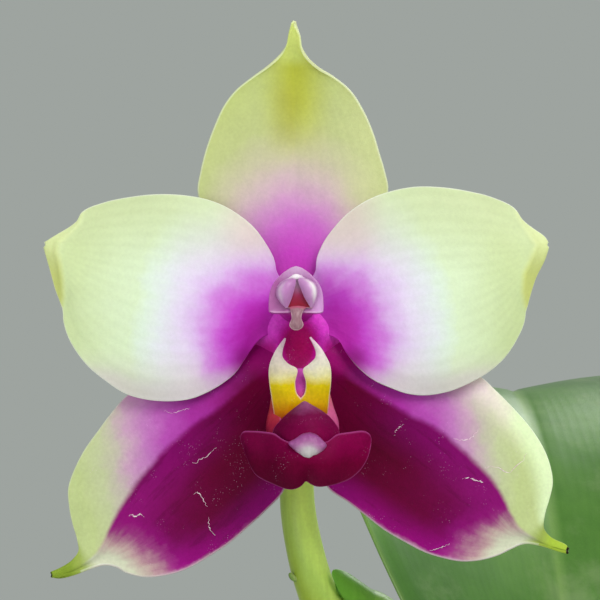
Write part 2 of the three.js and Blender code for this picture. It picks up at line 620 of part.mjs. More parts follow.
// The wings run from tip to tip: left is their upper edge and right their lower one
const WINGS = {
  left: [[-6.89, -15.9, 6.0], [-5.4, -15.28, 7.0], [-2.93, -15.52, 7.9], [-1.32, -16.4, 8.8],
    [0.81, -16.5, 9.2], [3.07, -16.4, 8.8], [4.27, -15.6, 8.1], [6.9, -15.3, 7.0], [8.3, -16.2, 6.0]],
  middle: [[-6.8, -16.1, 6.0], [-5.5, -17.7, 7.5], [-3.2, -18.9, 8.9], [-1.0, -19.3, 9.6], [0.8, -19.0, 9.8],
    [2.8, -19.2, 9.6], [5.0, -18.6, 8.9], [6.9, -17.6, 7.4], [8.2, -16.45, 6.0]],
  right: [[-6.88, -16.35, 6.0], [-5.98, -18.74, 6.8], [-4.15, -20.99, 7.7], [-1.3, -21.92, 8.4],
    [0.61, -20.99, 9.0], [2.6, -21.58, 8.5], [5.89, -20.77, 7.7], [7.93, -18.35, 6.7], [8.33, -16.7, 6.0]],
  tipBias: 1,
};

function lipBody() {
  const body = joined([
    ball(0.3, -12.8, 2.8, 4.0, 3.3, 3.0),
    tepalBody(SIDE_LOBE_LEFT, 1.2, 9, 4),
    tepalBody(SIDE_LOBE_RIGHT, 1.2, 9, 4),
    tepalBody(HOOD, 1.2, 6, 8),
    tepalBody(WINGS, 1.2, 16, 6),
    ball(0.95, -16.75, 9.5, 2.1, 1.5, 1.05),
  ]);
  return cutBy(body, [columnSeat]);
}

// Flower spike: from the side of the stem up to the bloom, jointed, with a short sheath at each joint

const SPIKE_PATH = [vector(-2, -1, 100), vector(-13, -5, 113), vector(-18, -12, 132),
  vector(-21, -25, 153), vector(-28, -43, 170), vector(-38, -60, 180.5),
  inBloom(12.0, -41.9, -18.5), inBloom(8.5, -38.9, -15.4), inBloom(5.6, -36.9, -13.8),
  inBloom(3.4, -36.2, -13.2)];

function spikeBody(grow) {
  const sheath = (t) => {
    const along = (t * SPIKE.joints + SPIKE.firstJoint) % 1;
    return SPIKE.flare * Math.max(0, 1 - along / SPIKE.sheathPart);
  };
  const taper = (t) => SPIKE.footRadius + (SPIKE.tipRadius - SPIKE.footRadius) * t;
  const tip = (t) => Math.min(1, SPIKE.tipShare + ((1 - SPIKE.tipShare) * (1 - t)) / SPIKE.tipPart);
  const radiusAt = (t) => (taper(t) + sheath(t)) * tip(t) + grow;
  return solid(rod(curveThrough(SPIKE_PATH), radiusAt, SPIKE.steps, SPIKE.sides));
}

// Pedicel: the stalk of the bloom, from the spike up behind the lip to the back of the column

function pedicelBody() {
  const path = bloomCurve([[7.4, -39.2, -15.2], [5.2, -40.1, -14], [3.1, -38.8, -13.2], [1.8, -35.8, -12.8],
    [0.6, -31.4, -12.5], [-0.3, -26, -12.5], [-0.4, -18, -12], [-0.4, -9.5, -10.5],
    [-0.4, -3.5, -7.6], [-0.4, -0.5, -3.0]]);
  const radiusAt = (t) => PEDICEL.radius * (1 - PEDICEL.waist * Math.sin(Math.PI * t));
  return solid(rod(path, radiusAt, PEDICEL.steps, PEDICEL.sides));
}

// The whole plant

const spikeSeat = spikeBody(GAP);
const roots = ROOTS.map((root) => rootBody(root, 0));
const rootHoles = ROOTS.map((root) => rootBody(root, GAP));

place("pot", potBody(), clay);
place("bark_medium", barkBody([stemSeat, spikeSeat, ...rootHoles]), bark);
place("stem", stem, stemGreen);
LEAVES.forEach((leaf) => place(leaf.name, leafBody(leaf), leafGreen));
ROOTS.forEach(({ name }, k) => place(name, cutBy(roots[k], [stemSeat, spikeSeat]), rootSilver));
place("flower_spike", cutBy(spikeBody(0), [stemSeat]), stalkGreen);
place("pedicel", cutBy(pedicelBody(), [columnSeat, spikeSeat]), stalkGreen);
place("dorsal_sepal", cutBy(tepalBody(DORSAL_SEPAL), [columnSeat]), petalCream);
place("petal_left", cutBy(tepalBody(PETAL_LEFT), [columnSeat]), petalCream);
place("petal_right", cutBy(tepalBody(PETAL_RIGHT), [columnSeat]), petalCream);
place("lateral_sepal_left", cutBy(tepalBody(LATERAL_SEPAL_LEFT), [columnSeat]), sepalMagenta);
place("lateral_sepal_right", cutBy(tepalBody(LATERAL_SEPAL_RIGHT), [columnSeat]), sepalMagenta);
place("column", column, columnPink);
place("anther_cap", antherBody(), columnPink);
place("lip", lipBody(), lipMagenta);

export default plant;
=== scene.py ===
import math

import bmesh
import bpy
import numpy as np
from mathutils import Euler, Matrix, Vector


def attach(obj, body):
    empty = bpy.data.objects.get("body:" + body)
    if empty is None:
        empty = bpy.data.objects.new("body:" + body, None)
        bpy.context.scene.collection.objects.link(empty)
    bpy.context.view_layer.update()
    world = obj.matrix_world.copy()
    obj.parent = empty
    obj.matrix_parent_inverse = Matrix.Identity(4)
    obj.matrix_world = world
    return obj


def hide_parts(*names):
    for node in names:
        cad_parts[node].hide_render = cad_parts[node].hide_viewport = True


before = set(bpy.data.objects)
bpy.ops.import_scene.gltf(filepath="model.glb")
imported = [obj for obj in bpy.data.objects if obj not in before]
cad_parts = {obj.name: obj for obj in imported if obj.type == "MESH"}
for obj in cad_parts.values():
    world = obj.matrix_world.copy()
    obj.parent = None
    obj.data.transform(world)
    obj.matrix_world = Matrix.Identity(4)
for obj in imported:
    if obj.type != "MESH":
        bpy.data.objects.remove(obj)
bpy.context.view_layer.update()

# A moth orchid in a clay pot. Lengths are in millimetres until a mesh is made, then in metres.

MM = 0.001
BLOOM = np.array([-55.0, -85.0, 225.0])  # the middle of the bloom, which faces -Y
VIEW_DISTANCE = 250.0  # from the lens to the bloom
VIEW_WIDTH = 72.0  # what the picture takes in, side to side, at the bloom
POT_HEIGHT, POT_RADIUS, POT_FOOT, POT_WALL, POT_FLOOR = 108.0, 60.0, 43.0, 5.5, 7.0
RIM_HEIGHT, RIM_STEP, RIM_FLARE, POT_EDGE = 20.0, 3.5, 0.04, 1.2
BARK_LEVEL, BARK_CROWN, BARK_INSET, BARK_CHIPS, BARK_SEED = 91.0, 4.0, 5.0, 42, 41


# Camera, light and floor

def placed(name, data):
    """A new object that holds this data, in the scene."""
    item = bpy.data.objects.new(name, data)
    bpy.context.scene.collection.objects.link(item)
    return item


def build_camera():
    """A portrait lens straight in front of the bloom."""
    data = bpy.data.cameras.new("portrait_camera")
    camera = placed("portrait_camera", data)
    camera.location = Vector(BLOOM * MM) + Vector((0, -VIEW_DISTANCE * MM, 0))
    camera.rotation_euler = Euler((math.radians(90), 0, 0))
    data.sensor_width = 36.0
    data.lens = data.sensor_width * VIEW_DISTANCE / VIEW_WIDTH
    data.clip_start = 0.01
    bpy.context.scene.camera = camera


def soft_light(name, place, target, size, power, tint):
    """A round soft lamp at a place in metres that shines on a target."""
    data = bpy.data.lights.new(name, "AREA")
    data.shape = "DISK"
    data.size = size
    data.energy = power
    data.color = tint
    light = placed(name, data)
    light.location = place
    aim = Vector(target) - Vector(place)
    light.rotation_euler = aim.to_track_quat("-Z", "Y").to_euler()


def build_light():
    bloom = tuple(BLOOM * MM)
    soft_light("window_light", (0.36, -0.85, 0.92), bloom, 0.7, 8.4, (1.0, 0.99, 0.97))
    soft_light("front_fill", (-0.6, -0.9, 0.3), bloom, 0.8, 2.8, (0.97, 0.99, 1.0))
    soft_light("back_fill", (0.5, 0.8, 0.9), (0, 0, 0.15), 0.8, 7.0, (1.0, 1.0, 1.0))
    world = bpy.data.worlds.new("pale_room")
    bpy.context.scene.world = world
    world.use_nodes = True
    background = world.node_tree.nodes["Background"]
    background.inputs["Color"].default_value = colour(196, 203, 198)
    background.inputs["Strength"].default_value = 0.62
    bpy.context.scene.view_settings.view_transform = "Standard"


def build_floor():
    """A round floor that fades out toward its rim. Its radius is in metres."""
    radius, rings, sides = 1.15, 24, 96
    points = [(0, 0, 0)]
    for i in range(1, rings + 1):
        for j in range(sides):
            turn = 2 * math.pi * j / sides
            points.append((radius * i / rings * math.cos(turn), radius * i / rings * math.sin(turn), 0))
    faces = [(0, 1 + j, 1 + (j + 1) % sides) for j in range(sides)]
    for i in range(rings - 1):
        for j in range(sides):
            a, b = 1 + i * sides + j, 1 + i * sides + (j + 1) % sides
            faces.append((a, a + sides, b + sides, b))
    mesh = bpy.data.meshes.new("pale_floor")
    mesh.from_pydata(points, [], faces)
    floor = placed("pale_floor", mesh)
    nodes = new_material("pale_floor", roughness=0.8)
    reach = nodes.math("DIVIDE", nodes.length(nodes.place()), radius)
    nodes.put(nodes.shader["Alpha"], nodes.below(reach, 0.45, 1.0))
    cloud = nodes.noise(nodes.place(), 6.0, 3.0)
    paint = nodes.ramp(cloud, [(0.3, (214, 216, 212)), (0.7, (222, 223, 219))])
    nodes.put(nodes.shader["Base Color"], paint)
    mesh.materials.append(nodes.material)


# Colours and shader nodes

def colour(red, green, blue):
    """A screen colour (0 to 255) as the linear colour that a shader takes."""
    channel = lambda c: c / 12.92 if c <= 0.04045 else ((c + 0.055) / 1.055) ** 2.4
    return (channel(red / 255), channel(green / 255), channel(blue / 255), 1.0)


class Nodes:
    """Short ways to add shader nodes to one tree."""

    def __init__(self, tree):
        self.tree = tree

    def add(self, kind):
        return self.tree.nodes.new(kind)

    def put(self, socket, value):
        if isinstance(value, bpy.types.NodeSocket):
            self.tree.links.new(value, socket)
        else:
            socket.default_value = value

    def math(self, operation, *values):
        node = self.add("ShaderNodeMath")
        node.operation = operation
        for socket, value in zip(node.inputs, values):
            self.put(socket, value)
        return node.outputs[0]

    def total(self, *values):
        result = values[0]
        for value in values[1:]:
            result = self.math("ADD", result, value)
        return result

    def product(self, *values):
        result = values[0]
        for value in values[1:]:
            result = self.math("MULTIPLY", result, value)
        return result

    def length(self, vector):
        node = self.add("ShaderNodeVectorMath")
        node.operation = "LENGTH"
        self.put(node.inputs[0], vector)
        return node.outputs["Value"]

    def scaled(self, vector, factors):
        node = self.add("ShaderNodeVectorMath")
        node.operation = "MULTIPLY"
        self.put(node.inputs[0], vector)
        self.put(node.inputs[1], factors)
        return node.outputs["Vector"]

    def between(self, value, low, high):
        """0 below low, 1 above high, with a smooth step between them."""
        node = self.add("ShaderNodeMapRange")
        node.interpolation_type = "SMOOTHSTEP"
        self.put(node.inputs["Value"], value)
        self.put(node.inputs["From Min"], low)
        self.put(node.inputs["From Max"], high)
        return node.outputs["Result"]

    def below(self, value, low, high):
        """1 below low, 0 above high, with a smooth step between them."""
        return self.math("SUBTRACT", 1.0, self.between(value, low, high))

    def negative(self, value):
        return self.math("MULTIPLY", value, -1.0)

    def ramp(self, value, stops):
        """Colours, from 0 to 255, at places from 0 to 1."""
        node = self.add("ShaderNodeValToRGB")
        elements = node.color_ramp.elements
        while len(elements) < len(stops):
            elements.new(0.5)
        for element, (place, shade) in zip(elements, stops):
            element.position = place
            element.color = colour(*shade)
        self.put(node.inputs["Fac"], value)
        return node.outputs["Color"]

    def mix(self, share, first, second, blend="MIX"):
        node = self.add("ShaderNodeMix")
        node.data_type = "RGBA"
        node.blend_type = blend
        self.put(node.inputs[0], share)
        self.put(node.inputs[6], first)
        self.put(node.inputs[7], second)
        return node.outputs[2]

    def noise(self, where, scale, detail=2.0, roughness=0.5):
        node = self.add("ShaderNodeTexNoise")
        self.put(node.inputs["Vector"], where)
        node.inputs["Scale"].default_value = scale
        node.inputs["Detail"].default_value = detail
        node.inputs["Roughness"].default_value = roughness
        return node.outputs["Fac"]

    def drift(self, where, scale, detail=2.0, roughness=0.5):
        """Noise about 0, which moves the edges of colours about."""
        return self.math("SUBTRACT", self.noise(where, scale, detail, roughness), 0.5)

    def cells(self, where, scale):
        """How far a point lies from the nearest of many scattered cell centres."""
        node = self.add("ShaderNodeTexVoronoi")
        self.put(node.inputs["Vector"], where)
        node.inputs["Scale"].default_value = scale
        return node.outputs["Distance"]

    def value(self, name):
        """A number that a mesh carries at each of its points."""
        node = self.add("ShaderNodeAttribute")
        node.attribute_type = "GEOMETRY"
        node.attribute_name = name
        return node.outputs["Fac"]

    def place(self):
        return self.add("ShaderNodeTexCoord").outputs["Object"]

    def bump(self, height, strength, distance, under=None):
        node = self.add("ShaderNodeBump")
        node.inputs["Strength"].default_value = strength
        node.inputs["Distance"].default_value = distance
        self.put(node.inputs["Height"], height)
        if under is not None:
            self.put(node.inputs["Normal"], under)
        return node.outputs["Normal"]

    def effect(self, name, **values):
        """The outputs of a shared effect, with these of its inputs set."""
        node = self.add("ShaderNodeGroup")
        node.node_tree = bpy.data.node_groups[name]
        for key, value in values.items():
            self.put(node.inputs[key.replace("_", " ")], value)
        return node.outputs

    def dressed(self, paint, normal):
        """The finished material, with its colour and its normal put on its shader."""
        self.put(self.shader["Base Color"], paint)
        self.put(self.shader["Normal"], normal)
        return self.material


def new_effect(name, inputs, outputs):
    """A shader node group with named inputs and outputs; gives its nodes, its inputs and its end."""
    tree = bpy.data.node_groups.new(name, "ShaderNodeTree")
    for key, kind, start in inputs:
        socket = tree.interface.new_socket(name=key, in_out="INPUT", socket_type="NodeSocket" + kind)
        socket.default_value = start
    for key, kind in outputs:
        tree.interface.new_socket(name=key, in_out="OUTPUT", socket_type="NodeSocket" + kind)
    nodes = Nodes(tree)
    return nodes, nodes.add("NodeGroupInput").outputs, nodes.add("NodeGroupOutput").inputs


def new_material(name, roughness, **constants):
    """The nodes of a new material; they also hold the material and the inputs of its shader."""
    material = bpy.data.materials.new(name)
    material.use_nodes = True
    nodes = Nodes(material.node_tree)
    nodes.material = material
    nodes.shader = material.node_tree.nodes["Principled BSDF"].inputs
    nodes.shader["Roughness"].default_value = roughness
    for key, value in constants.items():
        nodes.shader[key.replace("_", " ")].default_value = value
    return nodes


# Effects that several materials share

def build_effects():
    blush_distance_effect()
    living_skin_effect()
    lengthwise_veins_effect()
    pale_bloom_effect()


def blush_distance_effect():
    """How far a point lies from the heart of a blush of colour, in parts of its reach, with a soft wobble."""
    nodes, given, out = new_effect(
        "blush_distance",
        [("Heart Right", "Float", 0.0), ("Heart Up", "Float", 0.0), ("Reach Right", "Float", 10.0),
         ("Reach Up", "Float", 10.0), ("Wobble", "Float", 0.12)],
        [("Distance", "Float"), ("Right", "Float"), ("Up", "Float")],
    )
    split = nodes.add("ShaderNodeSeparateXYZ")
    place = nodes.place()
    nodes.put(split.inputs[0], place)
    right = nodes.math("SUBTRACT", nodes.product(split.outputs[0], 1 / MM), float(BLOOM[0]))
    up = nodes.math("SUBTRACT", nodes.product(split.outputs[2], 1 / MM), float(BLOOM[2]))
    aside = nodes.math("SUBTRACT", right, given["Heart Right"])
    above = nodes.math("SUBTRACT", up, given["Heart Up"])
    across = nodes.math("DIVIDE", aside, given["Reach Right"])
    along = nodes.math("DIVIDE", above, given["Reach Up"])
    plain = nodes.math("SQRT", nodes.total(nodes.product(across, across), nodes.product(along, along)))
    drift = nodes.drift(place, 260.0, 4.0, 0.6)
    nodes.put(out["Distance"], nodes.total(plain, nodes.product(drift, given["Wobble"], 2.0)))
    nodes.put(out["Right"], right)
    nodes.put(out["Up"], up)


def living_skin_effect():
    """The glistening cells of a petal's or a leaf's skin: a height for the normal, a faint fleck, and pale
    specks painted into the colour as glints.
    """
    nodes, given, out = new_effect(
        "living_skin",
        [("Color", "Color", (1, 1, 1, 1)), ("Fleck", "Float", 0.1), ("Glint", "Float", 0.0)],
        [("Color", "Color"), ("Height", "Float")],
    )
    place = nodes.place()
    cell = nodes.cells(place, 7000.0)
    grain = nodes.noise(place, 2600.0, 2.0)
    cloud = nodes.noise(place, 420.0, 3.0, 0.6)
    nodes.put(out["Height"], nodes.total(nodes.product(cell, 0.5), nodes.product(grain, 0.7),
                                         nodes.product(cloud, 0.5)))
    shade = nodes.total(nodes.product(grain, 0.55), nodes.product(cloud, 0.45))
    change = nodes.product(nodes.math("SUBTRACT", shade, 0.5), given["Fleck"], 3.0)
    light = nodes.add("ShaderNodeHueSaturation")
    nodes.put(light.inputs["Color"], given["Color"])
    nodes.put(light.inputs["Value"], nodes.total(change, 1.0))
    # Painted highlights: pale specks where the skin's cells would glint
    spark = nodes.below(nodes.cells(place, 4200.0), 0.08, 0.26)
    patch = nodes.between(nodes.noise(place, 460.0, 3.0, 0.6), 0.54, 0.68)
    painted_glints = nodes.product(spark, patch, given["Glint"])
    nodes.put(out["Color"], nodes.mix(painted_glints, light.outputs["Color"], colour(236, 188, 228)))


def lengthwise_veins_effect():
    """Fine veins that run from the base of a blade to its tip, from the blade's own across and along."""
    nodes, given, out = new_effect(
        "lengthwise_veins",
        [("Count", "Float", 14.0), ("Width", "Float", 0.3)],
        [("Vein", "Float"), ("Across", "Float"), ("Along", "Float"), ("Streak", "Float")],
    )
    across, along = nodes.value("across"), nodes.value("along")
    split, stretch = nodes.add("ShaderNodeSeparateXYZ"), nodes.add("ShaderNodeCombineXYZ")
    nodes.put(split.inputs[0], nodes.place())
    for socket, part in zip(stretch.inputs, (nodes.product(across, 7.0), nodes.product(along, 3.0),
                                             nodes.product(split.outputs[0], 60.0))):
        nodes.put(socket, part)
    nodes.put(out["Streak"], nodes.noise(stretch.outputs[0], 1.5, 4.0, 0.65))
    wobble = nodes.product(nodes.drift(nodes.place(), 130.0, 2.0), 0.5)
    turn = nodes.total(nodes.product(across, given["Count"]), wobble)
    ridge = nodes.math("ABSOLUTE", nodes.math("SUBTRACT", nodes.math("FRACT", turn), 0.5))
    line = nodes.below(ridge, 0.0, given["Width"])
    faint = nodes.between(nodes.noise(nodes.place(), 75.0, 2.0), 0.3, 0.58)
    nodes.put(out["Vein"], nodes.product(line, nodes.total(nodes.product(faint, 0.75), 0.25)))
    nodes.put(out["Across"], across)
    nodes.put(out["Along"], along)


def pale_bloom_effect():
    """Pale dust or mineral bloom that gathers in patches."""
    nodes, given, out = new_effect(
        "pale_bloom",
        [("Color", "Color", (1, 1, 1, 1)), ("Dust", "Color", (1, 1, 1, 1)), ("Amount", "Float", 0.5),
         ("Scale", "Float", 40.0)],
        [("Color", "Color"), ("Mask", "Float")],
    )
    noise = nodes.add("ShaderNodeTexNoise")
    nodes.put(noise.inputs["Vector"], nodes.place())
    nodes.put(noise.inputs["Scale"], given["Scale"])
    noise.inputs["Detail"].default_value = 6.0
    noise.inputs["Roughness"].default_value = 0.65
    mask = nodes.product(nodes.between(noise.outputs["Fac"], 0.48, 0.72), given["Amount"])
    nodes.put(out["Color"], nodes.mix(mask, given["Color"], given["Dust"]))
    nodes.put(out["Mask"], mask)


# Materials

def tepal_finish(nodes, paint, fleck=0.08, veins=8.0, vein_tint=(168, 176, 120), vein_share=0.13,
                 glint=0.1, rim_highlight_share=0.6, rim_end=9.0):
    """The waxy, glistening skin that all the petals and sepals share, over their own paint, with painted
    glints and a pale rim painted along the edge as a highlight.
    """
    vein = nodes.effect("lengthwise_veins", Count=veins, Width=0.46)
    along = vein["Along"]
    fade = nodes.product(vein["Vein"], nodes.between(along, 0.12, 0.5), nodes.below(along, 0.7, 0.95),
                         vein_share)
    veined = nodes.mix(fade, paint, nodes.mix(0.5, paint, colour(*vein_tint), "MULTIPLY"))
    skin = nodes.effect("living_skin", Color=veined, Fleck=fleck, Glint=glint)
    # Painted highlight: a pale rim along the edge, where it catches the light
    rim_highlight = nodes.product(nodes.below(nodes.value("rim"), 0.05, 0.24), nodes.between(along, 0.1, 0.24),
                           nodes.math("LESS_THAN", along, rim_end), rim_highlight_share)
    pale = nodes.mix(rim_highlight, skin["Color"], colour(240, 244, 232))
    behind = nodes.below(nodes.value("face"), 0.2, 0.8)
    backed = nodes.mix(nodes.product(behind, 0.4), pale, colour(196, 198, 160))
    fine = nodes.bump(skin["Height"], 0.25, 0.00006)
    return nodes.dressed(backed, nodes.bump(vein["Vein"], 0.05, 0.00012, fine))


def tepal_material(name, shine=0.2):
    """The nodes of a new material for a petal or sepal."""
    return new_material(
        name, roughness=0.42, Specular_IOR_Level=shine, Subsurface_Weight=0.1, Subsurface_Scale=0.001,
        Subsurface_Radius=(1.0, 0.75, 0.8),
    )


def petal_material(name, heart_right, reach_right):
    """Magenta at the heart, then lilac and a greenish cream, and yellow green past the fold."""
    nodes = tepal_material(name)
    blush = nodes.effect("blush_distance", Heart_Right=heart_right, Heart_Up=-4.9, Reach_Right=reach_right,
                         Reach_Up=8.4, Wobble=0.27)
    streak = nodes.math("SUBTRACT", nodes.effect("lengthwise_veins")["Streak"], 0.5)
    streaked = nodes.total(nodes.product(blush["Distance"], 0.4), nodes.product(streak, 0.07))
    # The first stop, at the very heart, is painted lighter than the next as painted light, against the shade
    # of the column
    paint = nodes.ramp(streaked, [
        (0.0, (208, 44, 192)), (0.12, (184, 27, 172)), (0.19, (188, 42, 184)), (0.25, (196, 66, 202)),
        (0.32, (204, 100, 212)), (0.40, (210, 138, 222)), (0.50, (220, 186, 234)), (0.62, (226, 212, 238)),
        (0.78, (224, 228, 232)), (0.90, (220, 234, 218)), (1.0, (218, 234, 200)),
    ])
    outer = nodes.between(blush["Distance"], 2.3, 3.9)
    far = nodes.mix(outer, paint, colour(204, 219, 164))
    upward = nodes.product(nodes.between(blush["Up"], 2.0, 12.0), nodes.between(blush["Distance"], 0.9, 1.5))
    warmed = nodes.mix(nodes.product(upward, 0.75), far, colour(200, 212, 164))
    from_middle = nodes.math("ABSOLUTE", blush["Right"])
    near_column = nodes.below(from_middle, 6.0, 11.0)
    inner_top = nodes.product(near_column, nodes.between(blush["Up"], 3.5, 8.0), 0.6)
    blushed = nodes.mix(inner_top, warmed, colour(216, 190, 190))
    low = nodes.product(nodes.between(nodes.negative(blush["Up"]), 5.0, 10.5),
                        nodes.between(blush["Distance"], 0.8, 1.4))
    lowered = nodes.mix(nodes.product(low, 0.6), blushed, colour(212, 208, 198))
    hem = nodes.product(nodes.below(nodes.value("rim"), 0.6, 3.2),
                        nodes.between(nodes.negative(blush["Up"]), 7.0, 9.5))
    hemmed = nodes.mix(nodes.product(hem, 0.5), lowered, colour(206, 192, 200))
    by_throat = nodes.product(nodes.below(from_middle, 6.4, 9.0),
                              nodes.between(nodes.negative(blush["Up"]), 4.8, 7.2), 0.75)
    shaded = nodes.mix(by_throat, hemmed, colour(134, 12, 110))
    fold = nodes.between(nodes.value("fold"), -0.5, 0.5)
    flap = nodes.ramp(nodes.between(blush["Up"], 2.0, 9.0), [(0.0, (208, 213, 116)), (1.0, (226, 236, 176))])
    return tepal_finish(nodes, nodes.mix(nodes.product(fold, 0.8), shaded, flap))


def dorsal_material():
    """Magenta low down, then pink and yellow green, with a green stripe up the middle near its tip."""
    nodes = tepal_material("dorsal_sepal_skin")
    blush = nodes.effect("blush_distance", Heart_Right=-0.6, Heart_Up=2.0, Reach_Right=7.6, Reach_Up=11.0)
    paint = nodes.ramp(nodes.product(blush["Distance"], 0.4), [
        (0.0, (182, 34, 168)), (0.15, (194, 58, 188)), (0.27, (200, 102, 198)), (0.37, (204, 146, 196)),
        (0.47, (206, 180, 186)), (0.57, (200, 194, 164)), (0.72, (192, 200, 138)), (0.95, (194, 206, 128)),
    ])
    aside = nodes.total(blush["Right"], 0.5)
    centre = nodes.math("ABSOLUTE", aside)
    stripe = nodes.product(nodes.below(centre, 0.0, 5.2), nodes.between(blush["Up"], 15.0, 25.0), 0.85)
    green = nodes.mix(stripe, paint, colour(188, 192, 46))
    pale_side = nodes.product(nodes.between(aside, 3.0, 9.0), nodes.between(blush["Up"], 8.0, 14.0), 0.5)
    sided = nodes.mix(pale_side, green, colour(210, 216, 158))
    smudge_side = nodes.math("ABSOLUTE", nodes.total(aside, 1.1))
    smudge = nodes.product(nodes.below(smudge_side, 0.2, 2.6),
                           nodes.between(blush["Up"], 17.0, 21.5),
                           nodes.below(blush["Up"], 24.0, 27.5), 0.32)
    smudged = nodes.mix(smudge, sided, colour(156, 150, 70))
    tip = nodes.mix(nodes.between(blush["Up"], 27.8, 29.6), smudged, colour(216, 228, 124))
    return tepal_finish(nodes, tip, fleck=0.12, vein_share=0.07, rim_highlight_share=0.35)


def lateral_material(name, outer_sign, outward_share, lit, spur_green, spot):
    """A lateral sepal: dark inside its crease, by its own colour and, beside the lip, by painted shade; from
    pink to cream outside it, and green at the tip. Painted light makes the outer half of the lit sepal paler,
    and lightens its inner margin near the foot and its part beside the throat.
    """
    nodes = tepal_material(name, shine=0.06)
    outward = nodes.product(nodes.value("across"), outer_sign)
    along = nodes.value("along")
    drift = nodes.drift(nodes.place(), 330.0, 4.0, 0.6)
    outside = nodes.math("MAXIMUM", outward, 0.0)
    outer_part = nodes.total(along, nodes.product(outside, outward_share), nodes.product(drift, 0.12),
                             0.04 * lit)
    outer = nodes.ramp(outer_part, [
        (0.0, (104, 4, 56)), (0.15, (112, 6, 68)), (0.26, (146, 26, 122)), (0.36, (164, 46, 154)),
        (0.46, (178, 76, 174)), (0.55, (188, 118, 184)), (0.62, (196, 156, 184)), (0.68, (192, 184, 170)),
        (0.75, (190, 198, 154)), (0.86, (188, 201, 140)),
    ])
    sunny = nodes.product(nodes.between(outside, 0.45, 0.9), nodes.between(outer_part, 0.42, 0.68), lit)
    sun = nodes.ramp(outer_part, [(0.64, (240, 200, 234)), (0.78, (238, 226, 218)), (0.88, (232, 250, 204))])
    shone = nodes.mix(sunny, outer, sun)
    streak = nodes.effect("lengthwise_veins")["Streak"]
    inner_part = nodes.total(along, nodes.product(drift, 0.09), nodes.product(outward, -0.10),
                             nodes.product(nodes.math("SUBTRACT", streak, 0.5), 0.06), -0.024 * lit)
    # The inner half is dark by its own colour; its darkest stretch, beside the lip, is also painted shade
    # cast by the lip
    inner = nodes.ramp(inner_part, [
        (0.0, (128, 2, 82)), (0.14, (106, 1, 52)), (0.34, (90, 1, 38)), (0.50, (97, 1, 47)),
        (0.62, (99, 2, 54)), (0.68, (112, 4, 78)), (0.72, (132, 14, 106)), (0.755, (150, 64, 124)),
        (0.81, (186, 156, 156)), (0.87, (205, 208, 183)),
    ])
    near = nodes.product(nodes.between(outward, -0.5, -0.04), nodes.between(along, 0.15, 0.5), 0.68)
    creased = nodes.mix(near, inner, colour(142, 8, 118))
    late = nodes.product(nodes.between(outward, -0.75, -0.1), nodes.between(inner_part, 0.44, 0.66), 0.5)
    glowing = nodes.mix(late, creased, colour(150, 22, 120))
    tipped = nodes.mix(nodes.between(inner_part, 0.72, 0.8), glowing, inner)
    inward = nodes.negative(outward)
    # Painted light: the inner margin near the foot, which turns toward the light, is painted brighter
    bright = nodes.product(nodes.between(inward, 0.7, 1.0), nodes.between(along, 0.14, 0.3),
                           nodes.below(inner_part, 0.74, 0.82), 0.6)
    brightened = nodes.mix(bright, tipped, colour(158, 10, 134))
    hem = nodes.product(nodes.between(nodes.total(inward, nodes.product(drift, 0.1)), 0.965, 1.0),
                        nodes.between(along, 0.35, 0.6), 0.5)
    hemmed = nodes.mix(hem, brightened, colour(196, 160, 182))
    line = nodes.product(nodes.between(streak, 0.52, 0.66), 0.3, nodes.below(inner_part, 0.66, 0.76))
    lined = nodes.mix(line, hemmed, colour(72, 1, 28))
    crease = nodes.between(nodes.total(outward, nodes.product(drift, 0.05)), -0.035, 0.045)
    sides = nodes.mix(crease, lined, shone)
    # Painted light: the part beside the throat is painted lighter, against the shade that falls there
    blush = nodes.effect("blush_distance", Heart_Right=4.9 * outer_sign, Heart_Up=-6.3, Reach_Right=3.2,
                         Reach_Up=2.8, Wobble=0.25)
    by_throat = nodes.product(nodes.below(blush["Distance"], 0.3, 1.3), 0.9)
    paint = nodes.mix(by_throat, sides, colour(156, 6, 112))
    green = nodes.mix(nodes.between(along, 0.865, 0.915), paint, colour(150, 168, 78))
    spur = nodes.mix(nodes.between(along, 0.91, 0.95), green, colour(*spur_green))
    dot = nodes.mix(nodes.between(along, spot, spot + 0.004), spur, colour(30, 26, 16))
    return tepal_finish(nodes, dot, fleck=0.13, veins=7.0, vein_tint=(150, 60, 120), vein_share=0.06,
                        glint=0.38, rim_highlight_share=0.3, rim_end=0.92)


def lip_material(name, stops, low, high, roughness=0.36, shine=0.08, edge=0.4, edge_tint=(186, 84, 158),
                 shade=(56, 0, 24), shade_share=0.0, shade_from=-1.0):
    """Waxy lip tissue, painted from its lowest to its highest point, and painted in shade on its left, away
    from the light.
    """
    nodes = new_material(
        name, roughness=roughness, Specular_IOR_Level=shine, Subsurface_Weight=0.08,
        Subsurface_Scale=0.0008, Subsurface_Radius=(1.0, 0.5, 0.6),
    )
    blush = nodes.effect("blush_distance")
    drift = nodes.drift(nodes.place(), 500.0, 3.0, 0.6)
    part = nodes.math("DIVIDE", nodes.math("SUBTRACT", blush["Up"], low), high - low)
    paint = nodes.ramp(nodes.total(part, nodes.product(drift, 0.12)), stops)
    # Painted shade: the left side is painted darker, away from the light
    left = nodes.below(blush["Right"], -3.2, 1.4)
    left_shade = nodes.product(left, nodes.between(part, shade_from, shade_from + 0.16), shade_share)
    shaded_left = nodes.mix(left_shade, paint, colour(*shade))
    skin = nodes.effect("living_skin", Color=shaded_left, Fleck=0.24, Glint=0.3)
    rim = nodes.below(nodes.value("rim"), 0.05, 0.3)
    edged = nodes.mix(nodes.product(rim, edge), skin["Color"], colour(*edge_tint))
    return nodes.dressed(edged, nodes.bump(skin["Height"], 0.3, 0.00008))


